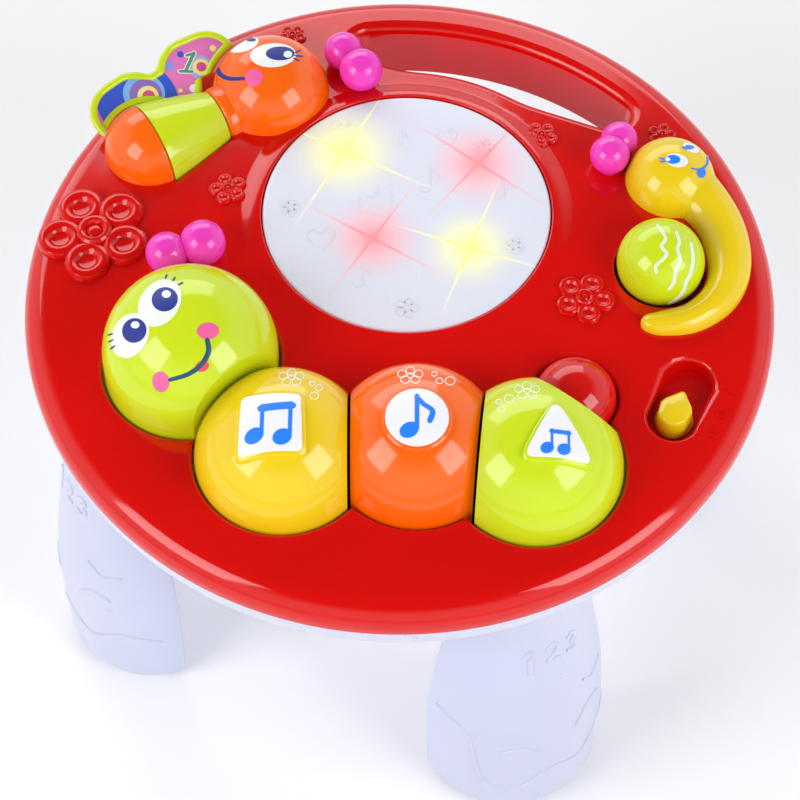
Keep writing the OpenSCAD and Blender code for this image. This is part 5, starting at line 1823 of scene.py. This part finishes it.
@dataclass
class Leg:
    """A plug-in leg: half round, wide at the calf, with raised waves and numbers."""

    index: int
    table: Table = TABLE
    out: float = 124.2
    first: float = -66.8
    top_r: float = 29.5
    wide_r: float = 40.7
    draft: float = 0.7
    foot_round: float = 9.0
    plug: Point = (19.0, 19.5)
    round_mm: float = 38.0
    waves: tuple = (
        (3.0, 0.75, ((-52, 73), (-42, 72), (-34, 66), (-29, 36), (-22, 24), (-12, 25), (2, 38), (18, 32),
                     (34, 44), (50, 40))),
        (2.8, 0.7, ((-20, 60), (-12, 63), (-5, 60))), (2.8, 0.7, ((14, 66), (22, 74), (30, 72))),
        (2.6, 0.7, ((20, 96), (26, 90), (36, 92))))
    one: tuple = (((-11.5, 134), (-8.5, 137), 5), ((-8.5, 137), (-8.5, 122), 6))
    figures: tuple = (((0.0, 136), (3.2, 139), (6.0, 136), (4.6, 132), (0.4, 127), (6.4, 127)),
                      ((12.4, 136.5), (15.4, 138), (17.2, 135), (14.6, 132.4), (17.6, 129.4), (15.2, 126),
                       (12.0, 127.6)))

    def radius_at(self, z: float) -> float:
        """Radius of the leg at a height, from the foot's rounding and the calf's curve.

        Args:
            z: The height.
        Returns:
            The radius.
        """
        base, foot = self.table.base_z, self.foot_round
        if z <= foot:
            rest = foot - max(z, 0.0)
            return self.wide_r - self.draft - foot + math.sqrt(max(foot ** 2 - rest * rest, 0.0))
        radii = (self.top_r, self.top_r + 1, self.wide_r, self.wide_r)
        heights = (base, base * 0.73, base * 0.58, base * 0.27)

        def bezier(t: float, ends: tuple) -> float:
            """One coordinate of the calf's curve."""
            shares = ((1 - t) ** 3, 3 * t * (1 - t) ** 2, 3 * t * t * (1 - t), t ** 3)
            return sum(share * end for share, end in zip(shares, ends))
        low, high = 0.0, 1.0
        for _ in range(24):
            t = (low + high) / 2
            low, high = (t, high) if bezier(t, heights) > z else (low, t)
        radius, lowest = bezier(t, radii), heights[3]
        return radius if z > lowest else radius - self.draft * (lowest - z) / (lowest - foot)

    def flat(self, x: float, y: float, lift: float) -> Vector:
        """A point on the leg's round side, by millimetres round it and height."""
        reach, turn = self.radius_at(y) + lift, x / self.round_mm
        return Vector((reach * math.cos(turn), reach * math.sin(turn), y))

    def build(self) -> None:
        """Makes the leg with its plug and its raised lines."""
        base, back, behind = self.table.base_z, Vector((0, 0, 0)), Vector((-1, 0, 0))
        heights = [base - (base - self.foot_round) * k / 44 for k in range(45)]
        foot = arc((self.wide_r - self.draft - self.foot_round, self.foot_round), self.foot_round, -9, -90, 9)
        profile = [(0, base)] + [(self.radius_at(z), z) for z in heights] + foot + [(0, 0)]
        radius, top = self.plug[0], base + self.plug[1]
        plug = turned([(0, base - 4), (radius, base - 4), (radius, top - 1), (radius - 1, top), (0, top)], 64)
        parts = [sliced(turned(profile, 128), back, behind, 1.5), sliced(plug, back, behind, 0.6)]
        parts += [stroke(list(line), width, self.flat, lift, 8, 0.5, True)
                  for width, lift, line in self.waves]
        parts += [stroke([start, stop], 3.0, self.flat, 0.8, per, 1.0, True) for start, stop, per in self.one]
        parts += [stroke(list(line), 2.6, self.flat, 0.8, 5, 0.8, True) for line in self.figures]
        turn = math.radians(self.first + 90 * self.index)
        place = Matrix.Rotation(turn, 4, "Z") @ Matrix.Translation((self.out, 0, 0))
        name = f"leg_{self.index + 1}"
        piece(f"{name}_moulding", moved(gathered(parts), place), LEG_WHITE, name, "tray_white", (name,))


# ---------------------------------------------------------------- pieces of the frame that stay


FRAME_FINISHES = {
    TRAY_WHITE: ("base_shell", "battery_door"),
    REFLECTOR: ("light_reflector",),
    STEEL: ("casing_screws", "key_spring_1", "key_spring_2", "key_spring_3", "head_spring", "tail_spring",
            "pad_springs", "wing_pin", "ball_spindle", "door_screw", "battery_contacts", "figure_screws"),
    DARK_STEEL: ("speaker_frame", "speaker_magnet"),
    BOARD_GREEN: ("main_board", "key_board"),
    LENS_YELLOW: ("yellow_leds",),
    LENS_RED: ("red_leds",),
    CONE_PAPER: ("speaker_cone",),
    RUBBER: ("switch_domes",),
    SWITCH_BLACK: ("slide_switch",),
    CELL_JACKET: ("batteries",),
}


def dress_frame() -> None:
    """Gives each of the frame's own pieces that stays its finish."""
    for finish, nodes in FRAME_FINISHES.items():
        for node in nodes:
            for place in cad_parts[node].material_slots:
                place.material = finish.material()
            LOG.info("%s: dressed in %s", node, finish.name)


# ---------------------------------------------------------------- stage


@dataclass
class Studio:
    """Floor, soft lights, pale surroundings and the camera at the photograph's angle."""

    eye: Vector = field(default_factory=lambda: TABLE.eye * MM)
    down: float = 32.25
    lens: float = 135.0
    focus: Vector = field(default_factory=lambda: Vector((0.0, 0.0, 0.19)))
    boxes: tuple = (("left box", -44, 7), ("right box", 43, 11))
    box_size: Point = (0.7, 0.7)
    box_radiance: float = 4.9

    def softbox(self, name: str, direction: Vector, distance: float, size: Point, radiance: float) -> None:
        """Hangs one soft light that faces the table.

        Args:
            name: Name of the light.
            direction: Direction from the table to the light.
            distance: Distance in metres.
            size: Its width and height in metres.
            radiance: Brightness of its face.
        """
        light = bpy.data.lights.new(name, "AREA")
        light.shape, light.size, light.size_y = "RECTANGLE", *size
        light.energy = radiance * math.pi * size[0] * size[1]
        lamp = bpy.data.objects.new(name, light)
        bpy.context.collection.objects.link(lamp)
        facing = direction.normalized().to_track_quat("Z", "Y").to_matrix().to_4x4()
        lamp.matrix_world = Matrix.Translation(self.focus + direction.normalized() * distance) @ facing

    def set_camera(self) -> None:
        """Stands the camera where the photograph was taken from."""
        camera = bpy.data.cameras.new("camera")
        camera.lens, camera.sensor_width = self.lens, 36.0
        holder = bpy.data.objects.new("camera", camera)
        bpy.context.collection.objects.link(holder)
        holder.location = self.eye
        holder.rotation_euler = (math.radians(self.down), 0, 0)
        bpy.context.scene.camera = holder

    def set_surroundings(self) -> None:
        """Surrounds the table with a pale room that darkens overhead, and keeps the colours plain."""
        bpy.context.scene.view_settings.view_transform = "Standard"
        world = bpy.data.worlds.new("surroundings")
        bpy.context.scene.world = world
        world.use_nodes = True
        wiring = Wiring(world.node_tree)
        sky = world.node_tree.nodes["Background"]
        height = wiring.add("SeparateXYZ", None, {0: wiring.add("TexCoord").outputs["Generated"]})
        ramp = wiring.add("MapRange", {"interpolation_type": "SMOOTHSTEP"},
                          {0: height.outputs["Z"], 1: 0.45, 2: 0.8, 3: 1.0, 4: 0.08})
        world.node_tree.links.new(ramp.outputs[0], sky.inputs["Strength"])
        sky.inputs["Color"].default_value = (0.97, 0.97, 1.0, 1)

    def build(self) -> None:
        """Sets the stage."""
        self.set_camera()
        back = Vector((0, -math.sin(math.radians(self.down)), math.cos(math.radians(self.down))))
        up = Vector((0, math.cos(math.radians(self.down)), math.sin(math.radians(self.down))))
        for name, across, below in self.boxes:
            a, b = math.radians(across), math.radians(below)
            direction = Vector((math.sin(a), 0, 0)) + math.cos(a) * (math.cos(b) * back - math.sin(b) * up)
            self.softbox(name, direction, 1.3, self.box_size, self.box_radiance)
        self.softbox("rear card", Vector((-0.25, 1.0, 0.62)), 2.2, (2.6, 1.1), 2.6)
        self.set_surroundings()
        floor = bmesh.new()
        bmesh.ops.create_grid(floor, x_segments=8, y_segments=8, size=4.0)
        mesh = bpy.data.meshes.new("floor")
        floor.to_mesh(mesh)
        floor.free()
        ground = bpy.data.objects.new("floor", mesh)
        bpy.context.collection.objects.link(ground)
        mesh.materials.append(PALE_FLOOR.material())
        LOG.info("stage set")


def main() -> None:
    """Builds the table sub-assembly by sub-assembly."""
    for part in (Studio(), TopCover(), DrumPad(), Keys(), FaceButton(), Butterfly(), Worm(), SlideSwitch()):
        part.build()
    for index in range(4):
        Leg(index).build()
    dress_frame()


if __name__ == "__main__":
    logging.basicConfig(level=logging.INFO, format="%(message)s")
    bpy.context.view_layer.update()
    main()
